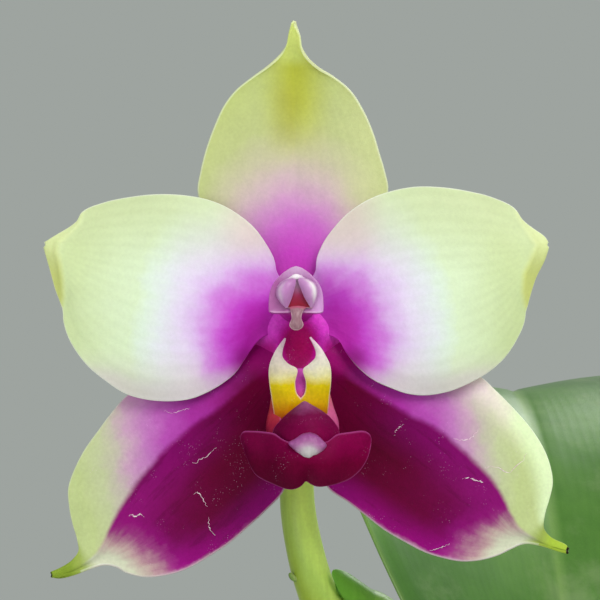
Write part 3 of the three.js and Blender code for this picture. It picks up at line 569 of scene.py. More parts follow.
def boss_material():
    """The lip's boss: a white tongue low in the middle, under a lilac brow that darkens to its rim."""
    nodes = new_material(
        "lip_boss_skin", roughness=0.36, Specular_IOR_Level=0.22, Subsurface_Weight=0.1,
        Subsurface_Scale=0.0006, Subsurface_Radius=(1.0, 0.8, 0.9),
    )
    blush = nodes.effect("blush_distance", Heart_Right=1.0, Heart_Up=-17.7, Reach_Right=1.5, Reach_Up=1.15,
                         Wobble=0.32)
    paint = nodes.ramp(nodes.product(blush["Distance"], 0.4), [
        (0.0, (198, 194, 194)), (0.24, (188, 178, 184)), (0.36, (178, 138, 170)), (0.5, (162, 96, 150)),
        (0.72, (150, 74, 138)), (0.95, (116, 30, 86)),
    ])
    skin = nodes.effect("living_skin", Color=paint, Fleck=0.2, Glint=0.3)
    return nodes.dressed(skin["Color"], nodes.bump(skin["Height"], 0.3, 0.00008))


def column_material():
    """Magenta behind, a clear lilac face in front, and a white line along its lower edge."""
    nodes = new_material(
        "column_skin", roughness=0.32, Specular_IOR_Level=0.22, Subsurface_Weight=0.25,
        Subsurface_Scale=0.0012, Subsurface_Radius=(1.0, 0.6, 0.9),
    )
    front = nodes.value("front")
    blush = nodes.effect("blush_distance", Heart_Right=-0.45, Heart_Up=4.2, Reach_Right=2.4, Reach_Up=2.4,
                         Wobble=0.3)
    face = nodes.ramp(nodes.product(blush["Distance"], 0.4), [
        (0.0, (220, 186, 222)), (0.25, (198, 146, 196)), (0.5, (172, 98, 160)), (0.8, (176, 104, 164)),
    ])
    back = nodes.ramp(front, [(0.0, (150, 14, 126)), (0.5, (168, 36, 150)), (0.8, (176, 70, 162))])
    lit_side = nodes.product(nodes.between(blush["Right"], 0.4, 2.4), 0.75)
    lilac = nodes.mix(lit_side, face, colour(216, 166, 222))
    paint = nodes.mix(nodes.between(front, 0.72, 0.95), back, lilac)
    skin = nodes.effect("living_skin", Color=paint, Fleck=0.14, Glint=0.15)
    hem = nodes.product(nodes.value("hem"), nodes.between(front, 0.9, 0.98), 0.75)
    return nodes.dressed(nodes.mix(hem, skin["Color"], colour(226, 190, 222)),
                         nodes.bump(skin["Height"], 0.25, 0.00006))


def cavity_material():
    """The throat under the column: crimson in the middle, magenta on its shoulders."""
    nodes = new_material("throat_skin", roughness=0.34, Specular_IOR_Level=0.12)
    blush = nodes.effect("blush_distance", Heart_Right=-0.1, Heart_Up=-5.6, Reach_Right=2.3, Reach_Up=3.4)
    paint = nodes.ramp(nodes.product(blush["Distance"], 0.5), [
        (0.0, (160, 0, 84)), (0.34, (160, 0, 94)), (0.46, (188, 12, 146)), (0.60, (214, 52, 196)),
        (1.0, (224, 74, 212)),
    ])
    low = nodes.between(nodes.negative(blush["Up"]), 3.9, 6.0)
    aside = nodes.between(nodes.math("ABSOLUTE", blush["Right"]), 1.8, 3.6)
    lowered = nodes.mix(nodes.product(low, aside), paint, colour(178, 12, 132))
    skin = nodes.effect("living_skin", Color=lowered, Fleck=0.3, Glint=0.75)
    return nodes.dressed(skin["Color"], nodes.bump(skin["Height"], 0.5, 0.00012))


def anther_material(name, stops):
    """Clear waxy skin over the pollen: stops run along each piece's own rise."""
    nodes = new_material(
        name, roughness=0.28, Specular_IOR_Level=0.3, Subsurface_Weight=0.25,
        Subsurface_Scale=0.0006, Subsurface_Radius=(1.0, 0.8, 0.9),
    )
    drift = nodes.drift(nodes.place(), 1400.0, 3.0)
    paint = nodes.ramp(nodes.total(nodes.value("rise"), nodes.product(drift, 0.15)), stops)
    rim = nodes.below(nodes.value("rim"), 0.0, 0.16)
    return nodes.dressed(nodes.mix(nodes.product(rim, 0.5), paint, colour(228, 198, 224)),
                         nodes.bump(nodes.noise(nodes.place(), 2400.0), 0.15, 0.00005))


def beak_material():
    """Dull pink, with a pale rim and faint lengthwise streaks."""
    nodes = new_material(
        "beak_skin", roughness=0.34, Specular_IOR_Level=0.25, Subsurface_Weight=0.2, Subsurface_Scale=0.0006,
        Subsurface_Radius=(1.0, 0.8, 0.8),
    )
    rim = nodes.below(nodes.value("rim"), 0.04, 0.22)
    cloud = nodes.noise(nodes.place(), 1600.0, 2.0)
    streak = nodes.noise(nodes.scaled(nodes.place(), (3.0, 3.0, 0.6)), 1500.0, 2.0)
    paint = nodes.ramp(nodes.total(nodes.product(cloud, 0.5), nodes.product(streak, 0.5)),
                       [(0.35, (138, 93, 110)), (0.65, (168, 129, 139))])
    top = nodes.below(nodes.value("along"), 0.02, 0.2)
    topped = nodes.mix(top, paint, colour(190, 90, 120))
    edge = nodes.product(rim, nodes.between(nodes.value("along"), 0.15, 0.35), 0.75)
    return nodes.dressed(nodes.mix(edge, topped, colour(226, 190, 202)), nodes.bump(streak, 0.3, 0.00006))


def scar_material():
    """Dry skin, from pink to nearly white."""
    nodes = new_material("dry_scar", roughness=0.6, Specular_IOR_Level=0.2)
    cloud = nodes.noise(nodes.place(), 3000.0, 3.0)
    paint = nodes.ramp(cloud, [(0.32, (196, 140, 172)), (0.6, (240, 224, 230))])
    return nodes.dressed(paint, nodes.bump(cloud, 0.4, 0.00005))


def stalk_material(name, low, high, dark, brighten=0.0):
    """Green stalks: painted paler on their right side, the lit side, and toward the end if asked, as painted
    light, with fine lengthwise streaks.
    """
    nodes = new_material(
        name, roughness=0.36, Specular_IOR_Level=0.3, Subsurface_Weight=0.15, Subsurface_Scale=0.001,
        Subsurface_Radius=(0.7, 1.0, 0.3),
    )
    place = nodes.place()
    drift = nodes.noise(place, 90.0, 3.0, 0.6)
    streak = nodes.noise(nodes.scaled(place, (9.0, 9.0, 0.8)), 160.0, 2.0)
    # Painted light: paler on the right side, by aside, and toward the end, by along and brighten
    paint = nodes.ramp(nodes.total(nodes.product(drift, 0.24), nodes.product(streak, 0.2),
                                   0.22 * (1 - brighten), nodes.product(nodes.value("aside"), 0.3),
                                   nodes.product(nodes.value("along"), brighten)),
                       [(0.2, dark), (0.45, low), (0.7, high)])
    skin = nodes.effect("living_skin", Color=paint, Fleck=0.1)
    fine = nodes.bump(skin["Height"], 0.15, 0.00006)
    return nodes.dressed(skin["Color"], nodes.bump(streak, 0.15, 0.0002, fine))


def leaf_material():
    """Glossy leaf: fine parallel veins, a paler midrib, a duller and paler underside."""
    nodes = new_material(
        "leaf_skin", roughness=0.36, Specular_IOR_Level=0.3, Subsurface_Weight=0.06, Subsurface_Scale=0.002,
        Subsurface_Radius=(0.5, 1.0, 0.2), Coat_Weight=0.06, Coat_Roughness=0.3,
    )
    place = nodes.place()
    vein = nodes.effect("lengthwise_veins", Count=26.0, Width=0.42)
    drift = nodes.noise(place, 22.0, 4.0, 0.6)
    base = nodes.ramp(drift, [(0.3, (58, 102, 34)), (0.5, (78, 124, 46)), (0.7, (98, 142, 58))])
    centre = nodes.math("ABSOLUTE", vein["Across"])
    midrib = nodes.below(centre, 0.0, 0.05)
    ribbed = nodes.mix(nodes.product(midrib, 0.5), base, colour(128, 164, 82))
    veined = nodes.mix(nodes.product(vein["Vein"], 0.07), ribbed, colour(40, 84, 26))
    rim = nodes.below(nodes.value("rim"), 0.0, 1.2)
    edged = nodes.mix(nodes.product(rim, 0.3), veined, colour(134, 158, 84))
    foot = nodes.below(vein["Along"], 0.0, 0.16)
    footed = nodes.mix(nodes.product(foot, 0.55), edged, colour(140, 158, 84))
    under = nodes.below(nodes.value("face"), 0.2, 0.8)
    backed = nodes.mix(nodes.product(under, 0.5), footed, colour(118, 146, 88))
    skin = nodes.effect("living_skin", Color=backed, Fleck=0.12)
    spotted = nodes.effect("pale_bloom", Color=skin["Color"], Dust=colour(164, 178, 132), Amount=0.22,
                           Scale=70.0)
    rough = nodes.total(nodes.product(drift, 0.16), 0.27, nodes.product(spotted["Mask"], 0.5))
    nodes.put(nodes.shader["Roughness"], rough)
    fine = nodes.bump(skin["Height"], 0.12, 0.00008)
    ribs = nodes.bump(vein["Vein"], 0.04, 0.0002, fine)
    return nodes.dressed(spotted["Color"], nodes.bump(nodes.noise(place, 60.0, 2.0), 0.12, 0.002, ribs))


def stem_material():
    """Green leaf sheaths with dry brown patches and lengthwise streaks."""
    nodes = new_material("stem_sheath", roughness=0.5, Specular_IOR_Level=0.4)
    place = nodes.place()
    streak = nodes.noise(nodes.scaled(place, (6.0, 6.0, 0.7)), 160.0, 3.0)
    dry = nodes.between(nodes.noise(place, 120.0, 4.0, 0.6), 0.5, 0.66)
    green = nodes.ramp(streak, [(0.3, (92, 116, 48)), (0.7, (140, 160, 84))])
    paint = nodes.mix(nodes.product(dry, 0.8), green, colour(150, 124, 84))
    return nodes.dressed(paint, nodes.bump(streak, 0.4, 0.0004))


def root_material():
    """Spongy root skin: silver, mottled green where it is damp, with a fresh green tip."""
    nodes = new_material("root_skin", roughness=0.75, Sheen_Weight=0.15, Sheen_Roughness=0.5)
    place = nodes.place()
    along = nodes.value("along")
    damp = nodes.noise(place, 95.0, 5.0, 0.65)
    crust = nodes.noise(place, 900.0, 4.0, 0.7)
    paint = nodes.ramp(damp, [(0.36, (196, 200, 186)), (0.5, (160, 172, 140)), (0.62, (112, 134, 84))])
    tip = nodes.mix(nodes.between(along, 0.90, 0.97), paint, colour(122, 158, 70))
    return nodes.dressed(nodes.mix(nodes.product(crust, 0.3), tip, colour(214, 214, 204)),
                         nodes.bump(crust, 0.5, 0.0003))


def bark_material():
    """Fir bark: layered, red brown on the faces and pale or nearly black where it broke."""
    nodes = new_material("bark_chip", roughness=0.88, Specular_IOR_Level=0.25)
    layer, tone = nodes.value("layer"), nodes.value("tone")
    place = nodes.place()
    grain = nodes.noise(place, 420.0, 6.0, 0.7)
    band = nodes.math("FRACT", nodes.total(layer, nodes.product(grain, 0.5)))
    base = nodes.ramp(tone, [(0.0, (74, 44, 28)), (0.4, (112, 68, 42)), (0.75, (142, 92, 58)),
                             (1.0, (168, 122, 82))])
    banded = nodes.mix(nodes.product(nodes.between(band, 0.35, 0.75), 0.55), base, colour(58, 34, 24))
    grainy = nodes.mix(nodes.product(nodes.between(grain, 0.52, 0.7), 0.5), banded, colour(178, 136, 98))
    moss = nodes.product(nodes.between(nodes.noise(place, 48.0, 4.0, 0.6), 0.6, 0.72), 0.5)
    rough = nodes.bump(grain, 0.7, 0.0012)
    return nodes.dressed(nodes.mix(moss, grainy, colour(86, 104, 46)), nodes.bump(band, 0.3, 0.0006, rough))


def clay_material():
    """Unglazed clay: throwing lines, pits, pale mineral bloom low down and a damp dark foot."""
    nodes = new_material("pot_clay", roughness=0.86, Specular_IOR_Level=0.3)
    place = nodes.place()
    split = nodes.add("ShaderNodeSeparateXYZ")
    nodes.put(split.inputs[0], place)
    height = nodes.product(split.outputs[2], 1 / MM)
    cloud = nodes.noise(place, 16.0, 5.0, 0.6)
    fire = nodes.ramp(cloud, [(0.3, (166, 92, 60)), (0.5, (186, 108, 72)), (0.7, (200, 124, 86))])
    lines = nodes.noise(nodes.scaled(place, (0.25, 0.25, 8.0)), 90.0, 3.0)
    lined = nodes.mix(nodes.product(nodes.between(lines, 0.45, 0.7), 0.25), fire, colour(150, 80, 52))
    speck = nodes.between(nodes.cells(place, 420.0), 0.0, 0.16)
    specked = nodes.mix(nodes.product(nodes.math("SUBTRACT", 1.0, speck), 0.5), lined, colour(120, 66, 46))
    low = nodes.below(height, 8.0, 74.0)
    salted = nodes.effect("pale_bloom", Color=specked, Dust=colour(214, 196, 178), Scale=34.0,
                          Amount=nodes.total(nodes.product(low, 0.6), 0.16))
    damp = nodes.product(nodes.below(height, 0.0, 14.0), 0.45)
    foot = nodes.mix(damp, salted["Color"], colour(112, 84, 56))
    green = nodes.product(nodes.between(nodes.noise(place, 26.0, 4.0, 0.6), 0.55, 0.7), low, 0.25)
    pits = nodes.total(nodes.product(nodes.noise(place, 1500.0, 4.0, 0.6), 0.6), nodes.product(lines, 0.5),
                       nodes.product(salted["Mask"], 0.5))
    return nodes.dressed(nodes.mix(green, foot, colour(110, 112, 66)), nodes.bump(pits, 0.35, 0.0004))


# Curves and meshes

CURVE_STEPS = 28  # points worked out between two given points of a curve


def spline(points):
    """A smooth curve through points, as a function of the part (0 to 1) of its length."""
    p = np.array(points, float)
    p = np.vstack([2 * p[0] - p[1], p, 2 * p[-1] - p[-2]])
    dense = []
    for a, b, c, d in zip(p, p[1:], p[2:], p[3:]):
        steps = [max(np.linalg.norm(q - r), 1e-6) ** 0.5 for q, r in ((b, a), (c, b), (d, c))]
        t0, t1, t2, t3 = np.cumsum([0.0] + steps)
        t = np.linspace(t1, t2, CURVE_STEPS)[:, None]
        ab = ((t1 - t) * a + (t - t0) * b) / (t1 - t0)
        bc = ((t2 - t) * b + (t - t1) * c) / (t2 - t1)
        cd = ((t3 - t) * c + (t - t2) * d) / (t3 - t2)
        abc = ((t2 - t) * ab + (t - t0) * bc) / (t2 - t0)
        bcd = ((t3 - t) * bc + (t - t1) * cd) / (t3 - t1)
        dense.append(((t2 - t) * abc + (t - t1) * bcd) / (t2 - t1))
    dense = np.vstack(dense)
    run = np.concatenate([[0.0], np.cumsum(np.linalg.norm(np.diff(dense, axis=0), axis=1))])
    share = run / run[-1]
    return lambda u: np.stack([np.interp(u, share, dense[:, k]) for k in range(dense.shape[1])], -1)


def value_along(stations, place):
    """A smooth value along a list of [place, value] stations."""
    x, y = np.array(stations, float).T
    i = np.clip(np.searchsorted(x, place, side="left") - 1, 0, len(x) - 2)
    before, after = np.maximum(i - 1, 0), np.minimum(i + 2, len(x) - 1)
    span = x[i + 1] - x[i]
    slope0 = (y[i + 1] - y[before]) / (x[i + 1] - x[before]) * span
    slope1 = (y[after] - y[i]) / (x[after] - x[i]) * span
    t = np.clip((place - x[i]) / span, 0, 1)
    ease = t * t * (3 - 2 * t)
    return y[i] + (y[i + 1] - y[i]) * ease + t * (1 - t) * (slope0 * (1 - t) - slope1 * t)


def step(value, low, high):
    """0 below low, 1 above high, with a smooth step between them."""
    t = np.clip((value - low) / (high - low), 0, 1)
    return t * t * (3 - 2 * t)


def in_bloom(points):
    """Places in the bloom, right, up and forward, as places in the plant."""
    p = np.asarray(points, float)
    return np.stack([BLOOM[0] + p[..., 0], BLOOM[1] - p[..., 2], BLOOM[2] + p[..., 1]], -1)


def make_piece(name, points, faces, material, node, slot, values=None, corner=None):
    """One smooth mesh, in metres, that stands for a node of the frame."""
    mesh = bpy.data.meshes.new(name)
    mesh.from_pydata((np.asarray(points) * MM).tolist(), [], faces)
    mesh.validate()
    shell = bmesh.new()
    shell.from_mesh(mesh)
    bmesh.ops.recalc_face_normals(shell, faces=shell.faces)
    shell.to_mesh(mesh)
    shell.free()
    mesh.polygons.foreach_set("use_smooth", [True] * len(mesh.polygons))
    for key, numbers in (values or {}).items():
        layer = mesh.attributes.new(key, "FLOAT", "POINT")
        layer.data.foreach_set("value", np.asarray(numbers, np.float32))
    if corner is not None:
        mesh.set_sharp_from_angle(angle=math.radians(corner))
    mesh.materials.append(material)
    piece = placed(name, mesh)
    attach(piece, "root")
    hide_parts(node)
    return piece


def run_lengths(grid, axis):
    """How far each point of a grid lies along its row or column, and the whole length."""
    gaps = np.linalg.norm(np.diff(grid, axis=axis), axis=-1)
    start = np.zeros_like(np.take(gaps, [0], axis=axis))
    run = np.concatenate([start, np.cumsum(gaps, axis=axis)], axis=axis)
    return run, np.take(run, [-1], axis=axis)


RIM_THIN = 0.45  # a blade's thickness at its rim, as a part of its full thickness


def blade_mesh(at, rows, columns, thick, open_base=True):
    """A thin sheet with a rounded rim. at(u, v) is its middle surface, and thick may vary with u and v."""
    s = np.linspace(0, 1, rows + 1)
    u = (1 - (1 - s) ** 1.7 if open_base else (1 - np.cos(math.pi * s)) / 2)[:, None]
    v = np.sin(np.linspace(-1, 1, columns + 1) * math.pi / 2)[None, :]
    u, v = np.broadcast_arrays(u, v)
    grid = at(u, v)
    normal = np.cross(np.gradient(grid, axis=0), np.gradient(grid, axis=1))
    normal /= np.maximum(np.linalg.norm(normal, axis=-1, keepdims=True), 1e-12)
    if normal[rows // 2, columns // 2, 1] > 0:
        normal = -normal
    across, width = run_lengths(grid, 1)
    along, length = run_lengths(grid, 0)
    rim = np.minimum(np.minimum(across, width - across), length - along)
    if not open_base:
        rim = np.minimum(rim, along)
    full = thick(u, v) if callable(thick) else np.full(u.shape, thick)
    full = full * (RIM_THIN + (1 - RIM_THIN) * step(rim, 0.0, 3.5 * full))
    short = np.clip(1 - rim / (full / 2), 0, 1)
    half = full / 2 * np.sqrt(1 - short**2)
    front = grid + normal * half[..., None]
    back = grid - normal * half[..., None]
    number = np.arange(grid.shape[0] * grid.shape[1]).reshape(grid.shape[:2])
    shared = np.zeros(number.shape, bool)
    shared[:, 0] = shared[:, -1] = shared[-1, :] = True
    if not open_base:
        shared[0, :] = True
    other = number + number.size
    other[shared] = number[shared]
    quads = lambda n: np.stack([n[:-1, :-1], n[1:, :-1], n[1:, 1:], n[:-1, 1:]], -1).reshape(-1, 4)
    faces = np.vstack([quads(number), quads(other)[:, ::-1]]).tolist()
    if open_base:
        faces += [[number[0, j], number[0, j + 1], other[0, j + 1], other[0, j]] for j in range(columns)]
    points = np.vstack([front.reshape(-1, 3), back.reshape(-1, 3)])
    values = {
        "along": np.tile(u.ravel(), 2), "across": np.tile(v.ravel(), 2), "rim": np.tile(rim.ravel(), 2),
        "face": np.concatenate([np.ones(number.size), np.zeros(number.size)]),
        "aside": np.zeros(2 * number.size),
    }
    used = np.unique(np.array([k for face in faces for k in face]))
    rank = np.full(len(points), -1)
    rank[used] = np.arange(len(used))
    faces = [[int(rank[k]) for k in dict.fromkeys(face)] for face in faces]
    faces = [face for face in faces if len(face) > 2]
    return points[used], faces, {key: numbers[used] for key, numbers in values.items()}


def blade_piece(name, at, rows, columns, thick, material, node, slot, open_base=True):
    points, faces, values = blade_mesh(at, rows, columns, thick, open_base)
    make_piece(name, points, faces, material, node, slot, values)


def closed_skin(ring_count, sides):
    """The faces over rings of points that are followed by the middle point of each end."""
    faces = []
    for k in range(ring_count - 1):
        for j in range(sides):
            a, b = k * sides + j, k * sides + (j + 1) % sides
            faces.append([a, b, b + sides, a + sides])
    first = ring_count * sides
    top = first - sides
    for j in range(sides):
        faces.append([first, (j + 1) % sides, j])
        faces.append([first + 1, top + j, top + (j + 1) % sides])
    return faces


END_CROWDING = 0.3  # how much the rings of a rod crowd toward its ends, from 0 to 1


def rod_mesh(route, radius_at, rings, sides, lumps=None):
    """A round rod along a curve, with round closed ends. radius_at takes the part of the length."""
    even = np.linspace(0, 1, rings + 1)
    s = (1 - np.cos(even * math.pi)) / 2 * END_CROWDING + even * (1 - END_CROWDING)
    centre = route(s)
    way = np.gradient(centre, axis=0)
    way /= np.linalg.norm(way, axis=1, keepdims=True)
    side = np.cross(way[0], (0.31, 0.17, 0.93))
    points, turn = [], np.arange(sides) * 2 * math.pi / sides
    for k in range(rings + 1):
        side = side - way[k] * np.dot(side, way[k])
        side /= np.linalg.norm(side)
        other = np.cross(way[k], side)
        radius = radius_at(s[k]) * (1 if lumps is None else lumps(turn, s[k]))
        radius = np.broadcast_to(radius, turn.shape)[:, None]
        points.append(centre[k] + radius * (np.cos(turn)[:, None] * side + np.sin(turn)[:, None] * other))
    points = np.vstack(points + [centre[:1], centre[-1:]])
    along = np.concatenate([np.repeat(s, sides), [0.0, 1.0]])
    middles = np.vstack([np.repeat(centre, sides, 0), centre[:1], centre[-1:]])
    aside = points[:, 0] - middles[:, 0]
    values = {"along": along, "aside": aside / max(np.abs(aside).max(), 1e-9)}
    return points, closed_skin(rings + 1, sides), values


def loft_mesh(rings):
    """A skin over rings of points, closed at both ends."""
    points = np.vstack([*rings, rings[0].mean(0)[None], rings[-1].mean(0)[None]])
    return points, closed_skin(len(rings), len(rings[0]))


def turned_mesh(profile, sides, wobble=0.0):
    """A body turned about the pot's axis from [radius, height] points; it starts and ends on the axis."""
    turn = np.arange(sides) * 2 * math.pi / sides
    rings = []
    for radius, height in profile[1:-1]:
        out = radius + wobble * np.sin(2 * turn + height * 0.03) + wobble * 0.5 * np.sin(3 * turn + 1.7)
        rings.append(np.stack([out * np.cos(turn), out * np.sin(turn), np.full(sides, height)], -1))
    points, faces = loft_mesh(rings)
    points[-2], points[-1] = (0, 0, profile[0][1]), (0, 0, profile[-1][1])
    return points, faces


# Petals and sepals: left edge, middle line and right edge, each as right, up and forward in the bloom

def tepal_surface(left, middle, right, crease=0.0, swell=None):
    """A surface over three lines; crease makes its fold along the middle sharper, from 0 to 1."""
    edges = [spline(in_bloom(line)) for line in (left, middle, right)]

    def at(u, v):
        l, m, r = [edge(u) for edge in edges]
        w = v[..., None]
        rounded = l * (w * (w - 1) / 2) + m * (1 - w * w) + r * (w * (w + 1) / 2)
        folded = m + np.where(w < 0, l - m, r - m) * np.abs(w)
        grid = rounded + (folded - rounded) * crease
        if swell is not None:
            place = np.stack([grid[..., 0] - BLOOM[0], grid[..., 2] - BLOOM[2]], -1)
            grid = grid + np.stack([np.zeros(u.shape), -swell(u, v, place), np.zeros(u.shape)], -1)
        return grid

    return at


def beyond_line(place, line):
    """How far places in the bloom lie beyond a line on its outer side (negative inside), in millimetres."""
    best = np.full(place.shape[:-1], 1e9)
    signed = np.zeros(place.shape[:-1])
    for a, b in zip(line[:-1], line[1:]):
        a, b = np.array(a), np.array(b)
        t = np.clip(((place - a) @ (b - a)) / np.dot(b - a, b - a), 0, 1)
        gap = place - (a + t[..., None] * (b - a))
        far = np.linalg.norm(gap, axis=-1)
        side = np.sign((b - a)[0] * (place - a)[..., 1] - (b - a)[1] * (place - a)[..., 0])
        nearer = far < best
        best = np.where(nearer, far, best)
        signed = np.where(nearer, far * side, signed)
    return signed


DORSAL_SEPAL = dict(
    left=[[-2.2, 0.2, -1.4], [-6.5, 4.8, -1.9], [-10.8, 9, -2.3], [-12.4, 13.0, -2.4],
          [-12.1, 15.4, -2.4], [-11.4, 18.2, -2.3], [-10.3, 21.2, -2.1],
          [-9.2, 23.5, -1.9], [-7.8, 25.3, -1.7], [-5.9, 26.8, -1.4], [-3.8, 28.2, -0.9],
          [-2.4, 29.4, -0.3], [-1.7, 30.5, 0.3], [-1.3, 31.9, 1.0], [-0.95, 33.1, 1.7]],
    middle=[[-0.5, 0.2, -1.5], [-0.6, 9, -2.9], [-0.7, 16, -3.6], [-0.7, 23, -3.1],
            [-0.75, 28.5, -1.5], [-0.8, 31.0, 0.5], [-0.8, 33.3, 1.7]],
    right=[[1.2, 0.2, -1.4], [5.0, 4.8, -1.9], [9.0, 9, -2.3], [10.7, 13.2, -2.4], [10.3, 15.6, -2.4],
           [9.7, 17.6, -2.3], [8.9, 20.2, -2.2], [7.7, 22.9, -2.0], [6.1, 25.3, -1.7], [4.1, 26.9, -1.4],
           [2.4, 27.8, -1.0], [1.1, 28.8, -0.5], [0.3, 30.0, 0.2], [0.05, 31.6, 0.8], [-0.65, 33.1, 1.7]],
    crease=0.12,
)
PETAL_LEFT = dict(
    left=[[-2.2, 2.3, -0.6], [-2.9, 3.6, -0.2], [-3.1, 4.9, 0.0], [-4.1, 6.8, 0.1],
          [-5.6, 8.8, 0.1], [-7.6, 10.4, 0.05], [-9.8, 11.6, 0.0], [-12.7, 12.4, -0.1],
          [-16.9, 12.7, -0.1], [-20.9, 12.3, -0.3], [-23.6, 11.7, -0.4],
          [-26.0, 10.7, -0.4], [-26.8, 9.4, 0.0], [-29.0, 7.9, 0.4], [-30.7, 6.8, 0.6]],
    middle=[[-2.4, -1.0, -0.4], [-5.5, -0.8, 0.6], [-9, -0.3, 1.4],
            [-16, 0.8, 2.1], [-23, 2.6, 1.6], [-28, 5.0, 1.0], [-30.55, 6.6, 0.6]],
    right=[[-2.8, -3.9, -0.4], [-4.7, -4.6, 0.1], [-6.6, -7.1, 0.5], [-7.7, -8.7, 0.7], [-9.0, -9.8, 0.8],
           [-10.8, -10.9, 0.9], [-13.0, -11.8, 1.0], [-15.5, -12.1, 1.0], [-18.4, -11.9, 1.0],
           [-20.9, -11.2, 0.9], [-23.5, -9.5, 0.8], [-25.6, -7.7, 0.6], [-27.5, -5.0, 0.4],
           [-28.3, -2.8, 0.3], [-28.5, -0.9, 0.4], [-29.3, 1.2, 0.6], [-30.1, 4.1, 0.7], [-30.7, 6.4, 0.6]],
)
PETAL_LEFT_FOLD = [(-25.9, 12.4), (-26.1, 10.3), (-26.4, 9.1), (-27.5, 7.9), (-28.8, 6.8), (-28.9, 5.8),
                   (-28.5, 4.2), (-28.3, 2.6), (-28.25, 0.4), (-28.6, -1.4), (-29.8, -3.4)]
PETAL_RIGHT = dict(
    left=[[2.0, -3.8, -0.4], [4.6, -4.8, 0.1], [5.5, -6.3, 0.4], [6.4, -7.5, 0.6], [7.6, -8.7, 0.7],
          [9.0, -9.7, 0.8], [10.8, -10.5, 0.9], [12.8, -11.2, 1.0], [15.1, -11.4, 1.0], [17.9, -10.9, 1.0],
          [20.3, -9.9, 0.9], [22.9, -8.4, 0.7], [24.7, -6.7, 0.6], [26.0, -4.7, 0.4], [26.8, -2.9, 0.3],
          [27.1, -1.2, 0.3], [27.6, 0.6, 0.5], [28.3, 2.7, 0.6], [29.3, 4.8, 0.7], [29.8, 6.4, 0.6]],
    middle=[[1.6, -1.0, -0.4], [5.0, -0.6, 0.6], [9, 0.2, 1.4], [16, 1.2, 2.1],
            [23, 2.8, 1.6], [27.4, 5.0, 1.0], [29.65, 6.6, 0.6]],
    right=[[1.2, 2.3, -0.6], [1.9, 3.6, -0.2], [2.0, 5.0, 0.0], [2.8, 6.9, 0.1], [4.1, 8.7, 0.1],
           [5.6, 10.3, 0.05], [7.9, 11.9, 0.0], [10.7, 13.0, -0.1], [13.9, 13.6, -0.1],
           [17.3, 13.5, -0.2], [20.5, 13.0, -0.3], [22.9, 12.4, -0.4], [25.7, 11.1, -0.4],
           [26.6, 9.7, 0.0], [27.8, 8.7, 0.2], [29.3, 7.6, 0.5], [29.8, 6.8, 0.6]],
)
PETAL_RIGHT_FOLD = [(28.6, -2.4), (26.9, -0.8), (26.5, 1.0), (26.6, 3.2), (27.3, 4.6),
                    (28.1, 6.5), (26.7, 8.8), (26.0, 10.2), (25.9, 12.6)]
LATERAL_LEFT = dict(
    left=[[-1.8, -3.2, -1.5], [-10, -6.6, -1.8], [-16, -8.8, -1.9], [-20.6, -11.3, -1.9],
          [-22.6, -13.4, -1.8], [-24.4, -15.8, -1.7], [-26.1, -18.2, -1.6], [-27.4, -20.8, -1.5],
          [-28.0, -22.8, -1.4], [-27.9, -24.7, -1.3], [-27.5, -26.8, -1.2], [-26.9, -28.6, -1.1],
          [-26.6, -30.0, -0.9], [-27.3, -31.2, -0.5], [-28.7, -32.2, 0.0], [-29.9, -32.7, 0.4]],
    middle=[[-1.2, -6.0, -1.0], [-4.8, -9.0, -0.6], [-8.5, -12.0, -0.4], [-12.4, -14.7, -0.3],
            [-15.5, -17.3, -0.3], [-18, -19.9, -0.3], [-20.0, -22.3, -0.4], [-22.1, -25.8, -0.6],
            [-24.6, -30.4, -0.8], [-27.2, -32.2, -0.3], [-29.8, -32.95, 0.4]],
    right=[[-0.9, -8.6, -0.7], [-1.0, -15, -1.2], [-1.4, -20, -1.3], [-1.9, -22.9, -1.4],
           [-4.3, -25.6, -1.4], [-6.4, -27.5, -1.4], [-8.5, -29.3, -1.4], [-10.6, -30.7, -1.4],
           [-12.6, -31.9, -1.3], [-14.6, -32.8, -1.3], [-16.8, -33.3, -1.2], [-18.8, -33.4, -1.1],
           [-20.9, -32.9, -1.0], [-22.1, -32.2, -0.9], [-23.5, -31.9, -0.8], [-25.2, -32.3, -0.5],
           [-27.1, -33.0, -0.1], [-28.9, -33.4, 0.2], [-29.9, -33.2, 0.4]],
    crease=0.45,
)
LATERAL_RIGHT = dict(
    left=[[1.0, -8.6, -0.7], [1.6, -15, -1.2], [2.5, -20, -1.3], [3.3, -22.6, -1.4],
          [5.8, -24.4, -1.4], [7.9, -26.0, -1.4], [10.1, -27.7, -1.4], [12.5, -29.1, -1.3],
          [15.0, -30.4, -1.3], [17.2, -31.1, -1.2], [19.3, -31.5, -1.1],
          [21.5, -31.4, -1.0], [23.8, -30.8, -0.9], [25.4, -30.0, -0.8],
          [27.0, -29.3, -0.6], [28.9, -29.5, -0.2], [30.8, -30.1, 0.2], [32.2, -30.3, 0.4]],
    middle=[[1.2, -6.0, -1.0], [4.4, -8.6, -0.6], [7.6, -10.6, -0.4], [12.2, -13.2, -0.3],
            [16.1, -15.2, -0.3], [19.0, -17.5, -0.3], [21.6, -19.9, -0.4], [23.8, -22.6, -0.5],
            [26.4, -27.2, -0.7], [29.2, -29.0, -0.3], [32.1, -30.05, 0.4]],
    right=[[1.9, -3.2, -1.5], [10, -6.0, -1.8], [16, -7.2, -1.9], [21.7, -9.2, -1.9],
           [23.5, -10.8, -1.8], [25.7, -13.0, -1.7], [27.8, -15.4, -1.6], [29.4, -17.9, -1.5],
           [30.2, -20.0, -1.4], [30.5, -22.0, -1.3], [30.1, -23.9, -1.2], [29.5, -25.8, -1.1],
           [29.3, -27.4, -1.0], [30.2, -28.6, -0.6], [31.9, -29.4, 0.0], [32.3, -29.8, 0.4]],
    crease=0.45,
)
TEPAL_THICK = 0.85
PETAL_TURN_BACK = 0.4  # how steeply a petal's outer rim turns back, past its fold


